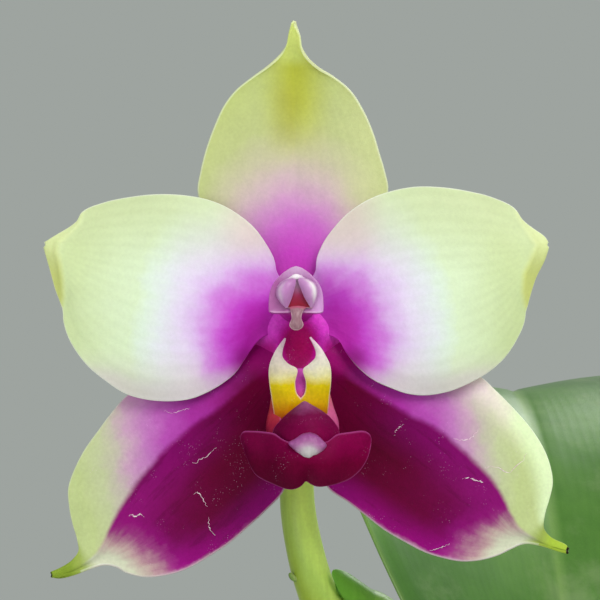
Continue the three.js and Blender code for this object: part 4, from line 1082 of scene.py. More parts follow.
def petal_swell(fold_line):
    """The rim turns back past its fold, which stands up as a low ridge, and the edge ripples."""
    def swell(u, v, place):
        past = -beyond_line(place, fold_line)
        turned = np.where(past > 0, -PETAL_TURN_BACK * past, 0.0)
        ridge = 0.12 * np.exp(-((past - 0.05) / 0.35) ** 2)
        ripple = 0.18 * np.sin(place[..., 0] * 0.55 + place[..., 1] * 0.3) * np.abs(v) ** 3
        return turned + ridge + ripple
    return swell


def lateral_swell(inner_sign):
    """The inner half dips behind its fold and rises again at its inner rim."""
    def swell(u, v, place):
        inward = np.clip(v * inner_sign, 0, 1)
        dip = -4.6 * inward * (1 - inward) * np.sin(math.pi * np.clip(u, 0, 1))
        ripple = 0.15 * np.sin(9 * u + 3 * v) * np.abs(v) ** 2
        return dip + ripple
    return swell


def dorsal_swell(u, v, place):
    """A groove up the middle of the outer part, and a rippled edge."""
    groove = -0.25 * np.exp(-((place[..., 0] + 0.7) / 0.7) ** 2) * step(place[..., 1], 8, 20)
    return groove + 0.12 * np.sin(7 * u + 2 * v) * np.abs(v) ** 2


def tepal_thickness(u, v):
    """Even, but nearly twice as thick at the very tip."""
    return TEPAL_THICK * (1 + 0.9 * step(u, 0.9, 0.99))


def build_tepals():
    """Gives the middle surface of each petal and sepal, because the scars lie on two of them."""
    jobs = [
        ("dorsal_sepal_blade", "dorsal_sepal", "sepal_cream", DORSAL_SEPAL, dorsal_swell, None,
         dorsal_material()),
        ("petal_left_blade", "petal_left", "petal_cream", PETAL_LEFT,
         petal_swell(PETAL_LEFT_FOLD), PETAL_LEFT_FOLD,
         petal_material("petal_left_skin", heart_right=-4.6, reach_right=6.4)),
        ("petal_right_blade", "petal_right", "petal_cream", PETAL_RIGHT,
         petal_swell(PETAL_RIGHT_FOLD), PETAL_RIGHT_FOLD,
         petal_material("petal_right_skin", heart_right=4.6, reach_right=5.7)),
        ("lateral_left_blade", "lateral_sepal_left", "sepal_magenta", LATERAL_LEFT,
         lateral_swell(1), None,
         lateral_material("lateral_left_skin", outer_sign=-1.0, outward_share=0.18, lit=0.0,
                          spur_green=(128, 152, 48), spot=0.996)),
        ("lateral_right_blade", "lateral_sepal_right", "sepal_magenta", LATERAL_RIGHT,
         lateral_swell(-1), None,
         lateral_material("lateral_right_skin", outer_sign=1.0, outward_share=0.26, lit=0.8,
                          spur_green=(166, 192, 64), spot=0.992)),
    ]
    surfaces = {}
    for name, node, slot, shape, swell, fold, material in jobs:
        at = tepal_surface(**shape, swell=swell)
        points, faces, values = blade_mesh(at, 120, 72, tepal_thickness)
        if fold:
            place = np.stack([points[:, 0] - BLOOM[0], points[:, 2] - BLOOM[2]], -1)
            values["fold"] = -beyond_line(place, fold)
        make_piece(name, points, faces, material, node, slot, values)
        surfaces[node] = at
    return surfaces


# Small dry scars on the lateral sepals

SCAR_POINTS = 16
# the sepal, a thread's half width, and its path as right and up
SCARS = [
    ("lateral_sepal_left", 0.09, [(-20.7, -26.0), (-20.3, -25.8), (-19.8, -26.1),
                                  (-19.3, -25.8), (-18.8, -26.1)]),
    ("lateral_sepal_left", 0.04, [(-13.1, -19.4), (-12.6, -19.7), (-12.1, -19.2),
                                  (-11.3, -18.9), (-10.6, -18.2), (-10.1, -17.8)]),
    ("lateral_sepal_left", 0.05, [(-12.9, -23.5), (-12.4, -23.2), (-12.0, -23.6),
                                  (-11.5, -24.4), (-11.2, -25.0)]),
    ("lateral_sepal_left", 0.03, [(-11.0, -26.2), (-10.9, -27.6), (-10.2, -28.4)]),
    ("lateral_sepal_left", 0.03, [(-16.3, -13.3), (-15.4, -13.6), (-14.4, -13.3), (-13.2, -13.0)]),
    ("lateral_sepal_right", 0.09, [(19.6, -21.5), (20.4, -21.4), (21.1, -21.7),
                                   (21.8, -21.8), (22.3, -22.2)]),
    ("lateral_sepal_right", 0.05, [(18.4, -16.6), (19.3, -16.8), (20.3, -16.7),
                                   (20.9, -16.2), (21.6, -15.4)]),
    ("lateral_sepal_right", 0.04, [(22.0, -20.2), (22.9, -20.0), (24.0, -20.2), (25.0, -20.8),
                                   (25.9, -20.0), (26.9, -19.2), (27.2, -18.4)]),
    ("lateral_sepal_right", 0.03, [(11.4, -16.4), (11.6, -15.6), (12.5, -14.9)]),
    ("lateral_sepal_right", 0.03, [(15.6, -30.2), (16.8, -29.9), (18.0, -29.4)]),
]


def build_scars(surfaces):
    """Wavering threads that lie on the front of the sepals."""
    material = scar_material()
    u, v = np.meshgrid(np.linspace(0.05, 0.95, 260), np.linspace(-0.95, 0.95, 160), indexing="ij")
    for k, (node, half_width, trail) in enumerate(SCARS):
        grid = surfaces[node](u, v).reshape(-1, 3)
        flat = spline(trail)(np.linspace(0, 1, SCAR_POINTS))
        flat = flat + 0.07 * np.sin(np.arange(SCAR_POINTS)[:, None] * (2.1, 3.7) + k)
        x, z = BLOOM[0] + flat[:, 0], BLOOM[2] + flat[:, 1]
        nearest = [int(np.argmin((grid[:, 0] - a) ** 2 + (grid[:, 2] - b) ** 2)) for a, b in zip(x, z)]
        depth = np.convolve(np.pad(grid[nearest, 1], 1, mode="edge"), [0.25, 0.5, 0.25], "valid")
        route = spline(np.stack([x, depth - TEPAL_THICK / 2, z], -1))
        thin = lambda t: 0.012 + half_width * math.sin(math.pi * t) * (0.65 + 0.35 * math.sin(19 * t + k))
        points, faces, values = rod_mesh(route, thin, 44, 8)
        make_piece(f"scar_{k + 1}", points, faces, material, node, "sepal_magenta", values)


# Column, throat and anther cap

COLUMN_MIDDLE = -0.45
COLUMN_RINGS, COLUMN_FACE = 8, 8  # rings from one station to the next, and where its closed face begins
# forward, half width, lowest and highest
COLUMN_STATIONS = [
    [-3.0, 2.3, -2.4, 2.4], [-1.0, 2.6, -3.0, 2.7], [1.5, 2.5, -2.6, 2.7], [4.0, 2.6, -2.0, 3.1],
    [6.0, 2.95, -1.7, 3.55], [7.4, 3.12, -1.58, 3.88], [8.3, 3.18, -1.54, 3.94], [8.75, 3.14, -1.5, 3.9],
    [8.86, 3.04, -1.44, 3.78], [8.8, 2.9, -1.36, 3.6], [8.66, 2.4, -1.1, 2.9], [8.6, 1.5, -0.6, 1.8],
    [8.6, 0.3, -0.1, 0.3],
]
# Half of the column's front edge, from its peak to its flat underside, in parts of its own size
HOOD_EDGE = [(0, 1), (0.17, 0.96), (0.38, 0.86), (0.61, 0.70), (0.80, 0.52), (0.92, 0.34), (0.985, 0.12),
             (1.0, -0.2), (1.0, -0.75), (0.975, -0.94), (0.88, -1.0), (0.45, -1.0), (0, -0.98)]


def build_column():
    """Its cross-section turns from a round barrel behind into a gable in front."""
    half_turn = np.linspace(0, 1, 49)
    gable = spline(HOOD_EDGE)(half_turn)
    barrel = np.stack([np.sin(math.pi * half_turn), np.cos(math.pi * half_turn)], -1)
    stations = np.array(COLUMN_STATIONS)
    walk = np.linspace(0, len(stations) - 1, (len(stations) - 1) * COLUMN_RINGS + 1)
    smooth = np.stack([value_along(list(enumerate(stations[:, k])), walk) for k in range(4)], -1)
    rings, front, hem = [], [], []
    for place, (forward, half, low, high) in zip(walk, smooth):
        share = step(forward, 2.0, 7.0)
        edge = gable * share + barrel * (1 - share)
        edge = np.vstack([edge, edge[-2:0:-1] * (-1, 1)])
        up = np.where(edge[:, 1] > 0, edge[:, 1] * high, -edge[:, 1] * low)
        right = COLUMN_MIDDLE + half * edge[:, 0]
        rings.append(in_bloom(np.stack([right, up, np.full(len(up), forward)], -1)))
        front.append(np.full(len(up), 1.0 if place > COLUMN_FACE else np.clip((forward + 1) / 11, 0, 1)))
        hem.append(1 - step(up, -1.5, -1.22))
    points, faces = loft_mesh(rings)
    values = {"front": np.concatenate([*front, [0.0, 1.0]]), "hem": np.concatenate([*hem, [0.0, 0.0]])}
    make_piece("column_hood", points, faces, column_material(), "column", "column_pink", values)


THROAT = dict(
    left=[[-4.2, -1.2, -1.6], [-5.4, -3.6, -1.3], [-5.3, -6.4, -1.7],
          [-3.5, -9.0, -1.6], [-2.9, -11.5, 0.2]],
    middle=[[-0.4, -1.4, 0.4], [-0.2, -4.4, -0.6], [0.0, -8.0, -0.6], [0.2, -11.8, 1.4]],
    right=[[3.6, -1.2, -1.6], [5.0, -3.6, -1.3], [5.1, -6.4, -1.7], [3.6, -9.0, -1.6], [3.1, -11.5, 0.2]],
)


def throat_shoulders(u, v, place):
    """A round shoulder on each side, under the foot of the column."""
    aside = (np.abs(place[..., 0] + 0.1) - 2.9) / 1.3
    rise = (place[..., 1] + 3.5) / 2.0
    return 0.9 * np.exp(-(aside**2 + rise**2))


def build_throat():
    at = tepal_surface(**THROAT, swell=throat_shoulders)
    blade_piece("column_throat", at, 60, 60, 0.9, cavity_material(), "column", "column_pink")


# The anther cap's two flaps hang from its peak like curtains: outer edge, crown and inner edge of each
ANTHER_FLAPS = [
    (-1, dict(
        left=[[-0.58, 2.62, 8.95], [-1.93, 2.18, 8.85], [-2.6, 1.45, 8.75],
              [-2.72, 0.61, 8.75], [-2.25, -0.25, 8.8], [-1.6, -0.86, 8.95]],
        middle=[[-0.5, 2.6, 9.1], [-1.35, 1.9, 9.75], [-1.85, 1.1, 9.95],
                [-1.85, 0.4, 9.8], [-1.75, -0.3, 9.4], [-1.55, -0.9, 9.05]],
        right=[[-0.42, 2.55, 9.05], [-0.5, 1.95, 9.35], [-0.66, 1.3, 9.4],
               [-0.95, 0.3, 9.3], [-1.2, -0.35, 9.2], [-1.45, -0.88, 9.0]],
    )),
    (1, dict(
        left=[[-0.3, 2.55, 9.05], [-0.15, 1.98, 9.35], [0.05, 1.5, 9.4],
              [0.5, 0.4, 9.3], [0.9, -0.3, 9.2], [1.22, -0.83, 9.0]],
        middle=[[-0.2, 2.6, 9.1], [0.65, 1.98, 9.75], [1.15, 1.3, 9.95],
                [1.3, 0.45, 9.8], [1.35, -0.2, 9.4], [1.32, -0.85, 9.05]],
        right=[[-0.1, 2.62, 8.95], [1.1, 2.32, 8.85], [1.78, 1.78, 8.75],
               [2.02, 0.85, 8.75], [1.8, 0.0, 8.8], [1.42, -0.78, 8.95]],
    )),
]
ANTHER_FLOOR = dict(
    left=[[-0.9, 2.9, 8.75], [-1.4, 2.0, 8.75], [-1.7, 0.4, 8.75], [-1.75, -0.95, 8.8]],
    middle=[[-0.36, 2.95, 8.85], [-0.3, 1.8, 8.75], [-0.22, 0.4, 8.7], [-0.18, -0.95, 8.85]],
    right=[[0.2, 2.9, 8.75], [0.8, 2.0, 8.75], [1.3, 0.4, 8.75], [1.45, -0.95, 8.8]],
)
ANTHER_BROW = [[-2.63, 1.5, 8.8], [-2.1, 2.08, 8.95], [-1.2, 2.48, 9.05],
               [-0.42, 2.7, 9.2], [0.5, 2.5, 9.05], [1.3, 2.2, 8.95], [1.85, 1.8, 8.8]]
BEAK = dict(
    left=[[-1.2, -0.85, 8.8], [-1.12, -1.2, 9.15], [-0.98, -1.75, 9.45], [-0.94, -2.25, 9.5],
          [-1.14, -2.62, 9.45], [-1.22, -2.92, 9.4], [-1.0, -3.25, 9.3], [-0.6, -3.42, 9.25]],
    middle=[[-0.25, -0.8, 8.95], [-0.32, -1.2, 9.4], [-0.4, -1.75, 9.7], [-0.42, -2.25, 9.75],
            [-0.42, -2.7, 9.65], [-0.43, -3.05, 9.55], [-0.45, -3.48, 9.35]],
    right=[[0.75, -0.85, 8.8], [0.42, -1.2, 9.15], [0.17, -1.75, 9.45], [0.14, -2.25, 9.5],
           [0.32, -2.62, 9.45], [0.38, -2.92, 9.4], [0.15, -3.25, 9.3], [-0.25, -3.42, 9.25]],
)


def build_anther():
    clear = anther_material("anther_flap_skin", [
        (0.0, (180, 112, 176)), (0.3, (194, 142, 194)), (0.6, (218, 186, 216)), (1.0, (250, 238, 246)),
    ])
    build_anther_flaps(clear)
    build_anther_floor()
    build_anther_brow(clear)
    blade_piece("anther_beak", tepal_surface(**BEAK), 60, 24, 0.5, beak_material(), "anther_cap",
                "anther_pink")


def build_anther_flaps(material):
    """Each flap is painted with a highlight over its swelling; the left flap's lies lower than the right
    one's and is fainter, and the left flap is painted darker as shade.
    """
    for side, flap in ANTHER_FLAPS:
        points, faces, values = blade_mesh(tepal_surface(**flap), 48, 36, 0.42, open_base=False)
        outward, along = values["across"] * side, values["along"]
        name, peak, dark, light = "anther_flap_right", 1.1, 0.2, 0.8
        if side < 0:
            name, peak, dark, light = "anther_flap_left", 1.35, 0.12, 0.45
        # Painted highlight over each flap's swelling; the left flap's is fainter and its ground darker, as
        # painted shade
        bulge_highlight = np.exp(-(((outward - 0.4) / 0.36) ** 2)) * np.sin(math.pi * along**peak) ** 1.3
        values["rise"] = dark + light * bulge_highlight
        make_piece(name, points, faces, material, "anther_cap", "anther_pink", values)


def build_anther_floor():
    """The red floor that shows between the flaps."""
    red = anther_material("anther_floor_skin", [
        (0.0, (144, 20, 50)), (0.3, (164, 38, 90)), (0.6, (182, 100, 148)), (1.0, (208, 170, 206)),
    ])
    points, faces, values = blade_mesh(tepal_surface(**ANTHER_FLOOR), 40, 40, 0.5, open_base=False)
    values["rise"] = step(points[:, 2] - BLOOM[2], -0.6, 2.6)
    make_piece("anther_floor", points, faces, red, "anther_cap", "anther_pink", values)


def build_anther_brow(material):
    """A roll along the top of both flaps, thickest at their peak and painted palest there as a highlight."""
    thickness = lambda t: 0.07 + 0.26 * math.exp(-(((t - 0.5) / 0.13) ** 2))
    points, faces, values = rod_mesh(spline(in_bloom(ANTHER_BROW)), thickness, 60, 14)
    values["rise"] = 0.45 + 0.5 * np.exp(-(((values["along"] - 0.5) / 0.16) ** 2))
    values["rim"] = np.full(len(points), 9.0)
    make_piece("anther_brow", points, faces, material, "anther_cap", "anther_pink", values)


# Lip

SIDE_LOBES = [
    dict(
        left=[[-2.8, -15.4, 3.4], [-3.05, -13.2, 4.2], [-3.32, -11.6, 4.8],
              [-3.56, -9.8, 5.3], [-3.64, -8.4, 5.5], [-3.48, -7.4, 5.6],
              [-3.05, -6.4, 5.6], [-2.45, -5.35, 5.4], [-1.8, -4.55, 5.0]],
        middle=[[-1.3, -15.4, 4.0], [-1.6, -13.2, 4.8], [-1.8, -11.4, 5.4],
                [-2.0, -9.8, 5.9], [-2.1, -8.5, 6.0], [-2.5, -7.4, 5.9],
                [-2.6, -6.3, 5.7], [-2.2, -5.4, 5.45], [-1.72, -4.5, 5.0]],
        right=[[0.6, -15.4, 3.6], [0.5, -13.2, 4.4], [0.3, -11.8, 5.0], [-0.36, -11.0, 5.2],
               [-0.6, -9.6, 5.4], [-0.34, -8.15, 5.4], [-1.3, -7.65, 5.5], [-2.05, -6.9, 5.5],
               [-2.1, -5.9, 5.4], [-1.9, -5.2, 5.2], [-1.64, -4.55, 5.0]],
    ),
    dict(
        left=[[-0.4, -15.4, 3.6], [-0.3, -13.2, 4.4], [-0.1, -11.8, 5.0],
              [0.52, -11.0, 5.2], [0.72, -9.6, 5.4], [0.38, -8.15, 5.4], [1.0, -7.65, 5.5],
              [1.75, -7.05, 5.5], [1.93, -6.2, 5.4], [1.6, -5.2, 5.2], [1.1, -4.44, 5.0]],
        middle=[[1.6, -15.4, 4.0], [1.8, -13.2, 4.8], [1.95, -11.4, 5.4],
                [2.1, -9.8, 5.9], [2.1, -8.5, 6.0], [2.35, -7.3, 5.9],
                [2.4, -6.2, 5.7], [1.9, -5.3, 5.45], [1.18, -4.38, 5.0]],
        right=[[3.1, -15.4, 3.4], [3.25, -13.2, 4.2], [3.42, -11.6, 4.8],
               [3.6, -9.8, 5.3], [3.62, -8.4, 5.5], [3.42, -7.4, 5.6],
               [2.8, -6.3, 5.6], [2.0, -5.1, 5.4], [1.25, -4.42, 5.0]],
    ),
]
THROAT_WALLS = [
    dict(
        left=[[-3.0, -11.0, 1.2], [-3.2, -12.8, 1.8], [-3.5, -14.4, 2.4], [-3.6, -16.4, 3.0]],
        middle=[[-2.95, -11.0, 2.9], [-3.2, -12.8, 3.5], [-3.55, -14.4, 4.1], [-3.65, -16.4, 4.7]],
        right=[[-1.9, -11.0, 3.6], [-2.0, -12.8, 4.2], [-2.2, -14.4, 4.7], [-2.4, -16.4, 5.4]],
    ),
    dict(
        left=[[2.0, -11.0, 3.6], [2.3, -12.8, 4.2], [2.6, -14.4, 4.7], [2.8, -16.4, 5.4]],
        middle=[[3.1, -11.0, 2.9], [3.6, -12.8, 3.5], [4.1, -14.4, 4.1], [4.2, -16.4, 4.7]],
        right=[[3.15, -11.0, 1.2], [3.6, -12.8, 1.8], [4.1, -14.4, 2.4], [4.15, -16.4, 3.0]],
    ),
]
LIP_HOOD = dict(
    left=[[0.42, -12.05, 4.9], [-0.53, -12.76, 5.1], [-1.55, -13.56, 5.2],
          [-2.36, -14.36, 5.3], [-3.06, -15.25, 5.7], [-3.1, -17.2, 6.5]],
    middle=[[0.58, -11.98, 5.2], [0.72, -13.1, 6.8],
            [0.85, -14.5, 7.9], [0.9, -15.9, 8.6], [0.92, -17.4, 8.9]],
    right=[[0.75, -12.05, 4.9], [1.89, -12.76, 5.1], [3.11, -13.56, 5.2],
           [3.91, -14.36, 5.3], [4.51, -15.34, 5.7], [4.5, -17.2, 6.5]],
)
# The wings run from tip to tip: left is their upper edge and right their lower one
LIP_WINGS = dict(
    left=[[-6.89, -15.9, 6.0], [-6.57, -15.36, 6.4], [-5.4, -15.28, 6.9], [-4.14, -15.32, 7.5],
          [-2.93, -15.52, 8.0], [-2.12, -16.05, 8.4], [-1.32, -16.4, 8.8], [0.81, -16.5, 9.2],
          [3.07, -16.4, 8.8], [3.7, -15.98, 8.5], [4.27, -15.6, 8.2], [5.89, -15.35, 7.5],
          [7.41, -15.26, 6.8], [8.05, -15.6, 6.4], [8.3, -16.2, 6.0]],
    middle=[[-6.93, -16.1, 6.0], [-5.5, -17.7, 7.5], [-3.2, -18.9, 8.9],
            [-1.0, -19.3, 9.6], [0.8, -19.0, 9.8], [2.8, -19.2, 9.6],
            [5.0, -18.6, 8.9], [6.9, -17.6, 7.4], [8.32, -16.45, 6.0]],
    right=[[-6.88, -16.35, 6.0], [-6.58, -17.16, 6.1], [-5.98, -18.74, 6.4], [-5.16, -20.32, 6.9],
           [-4.15, -20.99, 7.3], [-2.93, -21.45, 7.8], [-1.53, -21.91, 8.2], [-0.73, -21.92, 8.4],
           [0.07, -21.56, 8.7], [0.61, -20.99, 9.0], [0.87, -21.1, 8.9], [1.87, -21.58, 8.6],
           [3.07, -21.54, 8.4], [4.67, -21.23, 8.0], [5.89, -20.77, 7.5], [7.11, -19.72, 6.9],
           [7.93, -18.35, 6.4], [8.34, -16.9, 6.1], [8.35, -16.6, 6.0]],
)
LIP_DISC = dict(
    left=[[-2.0, -8.3, 2.4], [-2.6, -10.5, 2.8], [-3.0, -14.0, 3.0], [-3.0, -17.0, 4.0]],
    middle=[[0.1, -8.2, 3.6], [0.1, -10.5, 4.2], [0.1, -14.0, 4.6], [0.4, -17.0, 5.2]],
    right=[[2.2, -8.3, 2.4], [2.8, -10.5, 2.8], [3.4, -14.0, 3.0], [3.6, -17.0, 4.0]],
)
LIP_BOSS = (0.95, -16.75, 9.55)  # its middle
LIP_BOSS_DEEP = 1.05
LIP_BOSS_EDGE = [(0.2, 1.5), (1.0, 1.2), (1.75, 0.5), (2.15, -0.05), (1.5, -0.8),
                 (0.75, -1.25), (-0.08, -1.62), (-0.85, -1.2), (-1.5, -0.65),
                 (-2.3, 0.25), (-1.5, 0.75), (-0.7, 1.3), (0.2, 1.5)]


def wing_swell(u, v, place):
    """Each wing is a shallow cup, with a valley between them under the boss."""
    valley = -0.9 * np.exp(-((place[..., 0] - 0.9) / 0.9) ** 2) * step(-place[..., 1], 18.0, 21.0)
    cups = -0.7 * (np.exp(-((place[..., 0] + 3.9) / 1.6) ** 2) + np.exp(-((place[..., 0] - 5.6) / 1.6) ** 2))
    return valley + cups * (1 - v * v)


def build_lip():
    build_side_lobes()
    build_throat_walls()
    build_hood_and_wings()
    build_boss()
    heart = lip_material("lip_heart_skin", [
        (0.0, (186, 60, 30)), (0.35, (196, 70, 110)), (0.6, (206, 80, 182)), (1.0, (204, 80, 186)),
    ], low=-13.5, high=-8.5)
    blade_piece("lip_disc", tepal_surface(**LIP_DISC), 40, 30, 1.2, heart, "lip", "lip_magenta")


def build_side_lobes():
    """Two upright lobes: red at the foot, then yellow, then white up to their pink tops."""
    skin = lip_material("side_lobe_skin", [
        (0.0, (150, 30, 40)), (0.13, (172, 64, 20)), (0.20, (200, 120, 0)), (0.30, (210, 164, 0)),
        (0.50, (214, 190, 0)), (0.60, (220, 212, 150)), (0.70, (218, 212, 192)), (0.88, (220, 206, 204)),
        (1.0, (222, 172, 208)),
    ], low=-15.4, high=-4.4, roughness=0.42, shine=0.15, edge=0.6, edge_tint=(238, 214, 222),
        shade=(164, 128, 130), shade_share=0.3, shade_from=0.5)
    for side, lobe in zip(("left", "right"), SIDE_LOBES):
        blade_piece(f"side_lobe_{side}", tepal_surface(**lobe), 90, 40, 1.0, skin, "lip", "lip_magenta")


def build_throat_walls():
    """The walls behind the feet of the side lobes."""
    stops = {
        "left": [(0.0, (128, 10, 54)), (0.35, (148, 26, 56)), (0.65, (168, 50, 58)), (1.0, (186, 100, 50))],
        "right": [(0.0, (164, 48, 108)), (0.35, (192, 80, 134)), (0.65, (200, 92, 138)),
                  (1.0, (200, 112, 108))],
    }
    for side, wall in zip(("left", "right"), THROAT_WALLS):
        skin = lip_material(f"lip_wall_skin_{side}", stops[side], low=-16.8, high=-11.0)
        blade_piece(f"lip_wall_{side}", tepal_surface(**wall), 40, 24, 0.9, skin, "lip", "lip_magenta")


def build_hood_and_wings():
    # The magenta darkens toward the wings' lower edge, partly by the lip's own colour and partly as painted
    # shade; its left side is painted in shade as well
    magenta = lip_material("lip_magenta_skin", [
        (0.0, (96, 8, 46)), (0.3, (100, 1, 44)), (0.5, (120, 1, 62)), (0.6, (124, 4, 66)),
        (0.72, (114, 4, 62)), (0.86, (111, 16, 66)), (1.0, (142, 78, 128)),
    ], low=-22.0, high=-12.0, roughness=0.5, shine=0.03, shade_share=0.42)
    blade_piece("lip_hood", tepal_surface(**LIP_HOOD), 60, 48, 0.9, magenta, "lip", "lip_magenta")
    wings = tepal_surface(**LIP_WINGS, swell=wing_swell)
    blade_piece("lip_wings", wings, 120, 48, 0.8, magenta, "lip", "lip_magenta", open_base=False)


def build_boss():
    """A rounded body over the boss's outline, with fine ridges on its front half."""
    outline, rings = spline(LIP_BOSS_EDGE)(np.linspace(0, 1, 73)[:-1]), []
    right, up, forward = LIP_BOSS
    for tilt in np.linspace(0.03, math.pi - 0.03, 40):
        ring = outline * math.sin(tilt) ** 0.8
        ridges = 0.06 * np.sin(ring[:, 0] * 8) * math.sin(tilt) * (math.cos(tilt) > 0)
        deep = LIP_BOSS_DEEP * math.cos(tilt) + ridges
        rings.append(in_bloom(np.stack([right + ring[:, 0], up + ring[:, 1], forward + deep], -1)))
    points, faces = loft_mesh(rings)
    make_piece("lip_boss", points, faces, boss_material(), "lip", "lip_magenta")


# Stalks

SPIKE_ROUTE = [[-2, -1, 100], [-13, -5, 113], [-18, -12, 132],
               [-21, -25, 153], [-28, -43, 170], [-38, -60, 180.5]]
SPIKE_TIP = [[12.0, -41.9, -18.5], [8.5, -38.9, -15.4], [5.6, -36.9, -13.8], [3.4, -36.2, -13.2]]
# place along the spike, length, turn, radius at the foot, how much wider its tip is
SPIKE_BRACTS = [[0.124, 8.5, 0.6, 2.9, 2.5], [0.324, 7.6, 3.2, 2.9, 2.5], [0.524, 6.7, 5.8, 2.9, 2.5],
                [0.724, 5.8, 8.4, 2.9, 2.5], [0.946, 10.2, -1.1, 1.8, 0.3]]
SPIKE_JOINTS = 5
PEDICEL_ROUTE = [[7.4, -39.2, -15.2], [5.2, -40.1, -14], [3.1, -38.8, -13.2],
                 [1.8, -35.8, -12.8], [0.6, -31.4, -12.5], [-0.3, -26, -12.5],
                 [-0.4, -18, -12], [-0.4, -9.5, -10.5], [-0.4, -3.5, -7.6], [-0.4, -0.5, -3.0]]
PEDICEL_NUB = [[-0.2, -35.1, -11.8], [-0.9, -34.8, -11.3], [-1.35, -34.2, -11.0]]


def bract_blade(route, place, size, turn, foot, flare):
    """A short pointed sheath that clasps the spike at one of its joints."""
    centre, ahead = route(np.array([place]))[0], route(np.array([min(place + 0.02, 1.0)]))[0]
    way = (ahead - centre) / np.linalg.norm(ahead - centre)
    side = np.cross(way, (math.cos(turn), math.sin(turn), 0.4))
    side /= np.linalg.norm(side)
    out = np.cross(side, way)

    def at(u, v):
        wrap = v * 1.9 * (1 - 0.55 * u)
        radius = foot + flare * (0.64 * u + 0.36 * u * u)
        length = size * u
        spread = np.sqrt(np.clip(1 - u**2.2, 0, 1)) * 0.96 + 0.04
        around = wrap * spread
        shape = np.cos(around)[..., None] * out + np.sin(around)[..., None] * side
        return centre + way * (length - 1.0)[..., None] + shape * radius[..., None]

    return at


def spike_radius(t):
    """The spike thins toward its tip and swells on both sides of each joint."""
    joint = (t * SPIKE_JOINTS + 0.35) % 1
    swelling = 0.55 * max(0.0, 1 - joint * 5) + 0.25 * max(0.0, (joint - 0.86) * 6)
    tip = min(1.0, 0.12 + math.sqrt(max(0.0, 1 - t) * 14))
    return (2.9 - 0.8 * t + swelling) * tip


def pedicel_radius(t):
    """Thicker over its first part, with a slight waist, and drawn in at its far end."""
    waist = 1 - 0.05 * math.sin(math.pi * t) + 0.12 * (1 - float(step(t, 0.12, 0.5)))
    return 2.25 * waist * min(1.0, 0.5 + 8 * (1 - t))


def pedicel_ridges(turn, t):
    """Six low ridges that twist a little, from its middle on."""
    return 1 + 0.035 * np.cos(6 * turn + 3 * t) * step(np.array(t), 0.35, 0.75)


def build_stalks():
    sheath = stalk_material("bract_skin", (118, 150, 70), (160, 180, 104), (96, 116, 52))
    build_spike(sheath)
    build_pedicel(sheath)


def build_spike(sheath):
    """Its last bract, by the bloom, is as green as the spike itself."""
    route = spline(np.vstack([np.array(SPIKE_ROUTE, float), in_bloom(SPIKE_TIP)]))
    green = stalk_material("spike_skin", (100, 158, 44), (134, 184, 72), (72, 128, 30))
    points, faces, values = rod_mesh(route, spike_radius, 260, 36)
    make_piece("spike_rachis", points, faces, green, "flower_spike", "stalk_green", values)
    for k, bract in enumerate(SPIKE_BRACTS):
        skin = green if k == len(SPIKE_BRACTS) - 1 else sheath
        blade_piece(f"spike_bract_{k + 1}", bract_blade(route, *bract), 30, 24, 0.5, skin,
                    "flower_spike", "stalk_green")


def build_pedicel(sheath):
    # Painted light toward its bloom end, where the lip shades it
    pale = stalk_material("pedicel_skin", (170, 200, 90), (220, 250, 122), (142, 166, 48), brighten=1.05)
    stalk = spline(in_bloom(PEDICEL_ROUTE))
    points, faces, values = rod_mesh(stalk, pedicel_radius, 160, 48, pedicel_ridges)
    make_piece("pedicel_stalk", points, faces, pale, "pedicel", "stalk_green", values)
    nub_radius = lambda t: 0.42 * math.sqrt(max(0.0, 1 - t**3)) + 0.01
    points, faces, values = rod_mesh(spline(in_bloom(PEDICEL_NUB)), nub_radius, 16, 16)
    make_piece("pedicel_nub", points, faces, sheath, "pedicel", "stalk_green", values)


# Leaves, stem and roots

LEAF_WIDTH = [[0, 0.15], [0.07, 0.17], [0.2, 0.44], [0.36, 0.78], [0.52, 0.97],
              [0.66, 1], [0.79, 0.92], [0.89, 0.72], [0.96, 0.43], [1, 0.03]]
LEAF_FOLD = [[0, 62], [0.1, 52], [0.3, 24], [0.6, 13], [1, 9]]
LEAF_THICK, LEAF_CHANNEL, LEAF_DROOP, LEAF_WAVES = 1.8, 2.0, 0.075, 2.5
# name, heading in degrees from +X, half width, sway, wave, phase, midrib as [out, up]
LEAVES = [
    ("leaf_1", -84, 39, 16, 1.6, 0.4, [[4, 108.5], [18, 115], [45, 125], [80, 126],
                                       [115, 110], [142, 84], [160, 55]]),
    ("leaf_2", 104, 41, -12, 1.8, 2.1, [[4, 112], [18, 119], [46, 132], [82, 137],
                                        [120, 125], [150, 101], [170, 72]]),
    ("leaf_3", -72, 42, -10, 1.7, 3.3, [[4, 116], [16, 125], [42, 143], [78, 155],
                                        [114, 150], [144, 132], [163, 110]]),
    ("leaf_4", 118, 51, -53, 2.3, 5.5, [[3.5, 119], [11, 129.5], [22, 150], [35, 173],
                                        [54, 192.5], [82, 204.5], [117, 204]]),
    ("leaf_5", -95, 21, 5, 0.8, 1.0, [[3, 123], [6, 132], [10, 146], [17, 160], [28, 171], [42, 176]]),
]


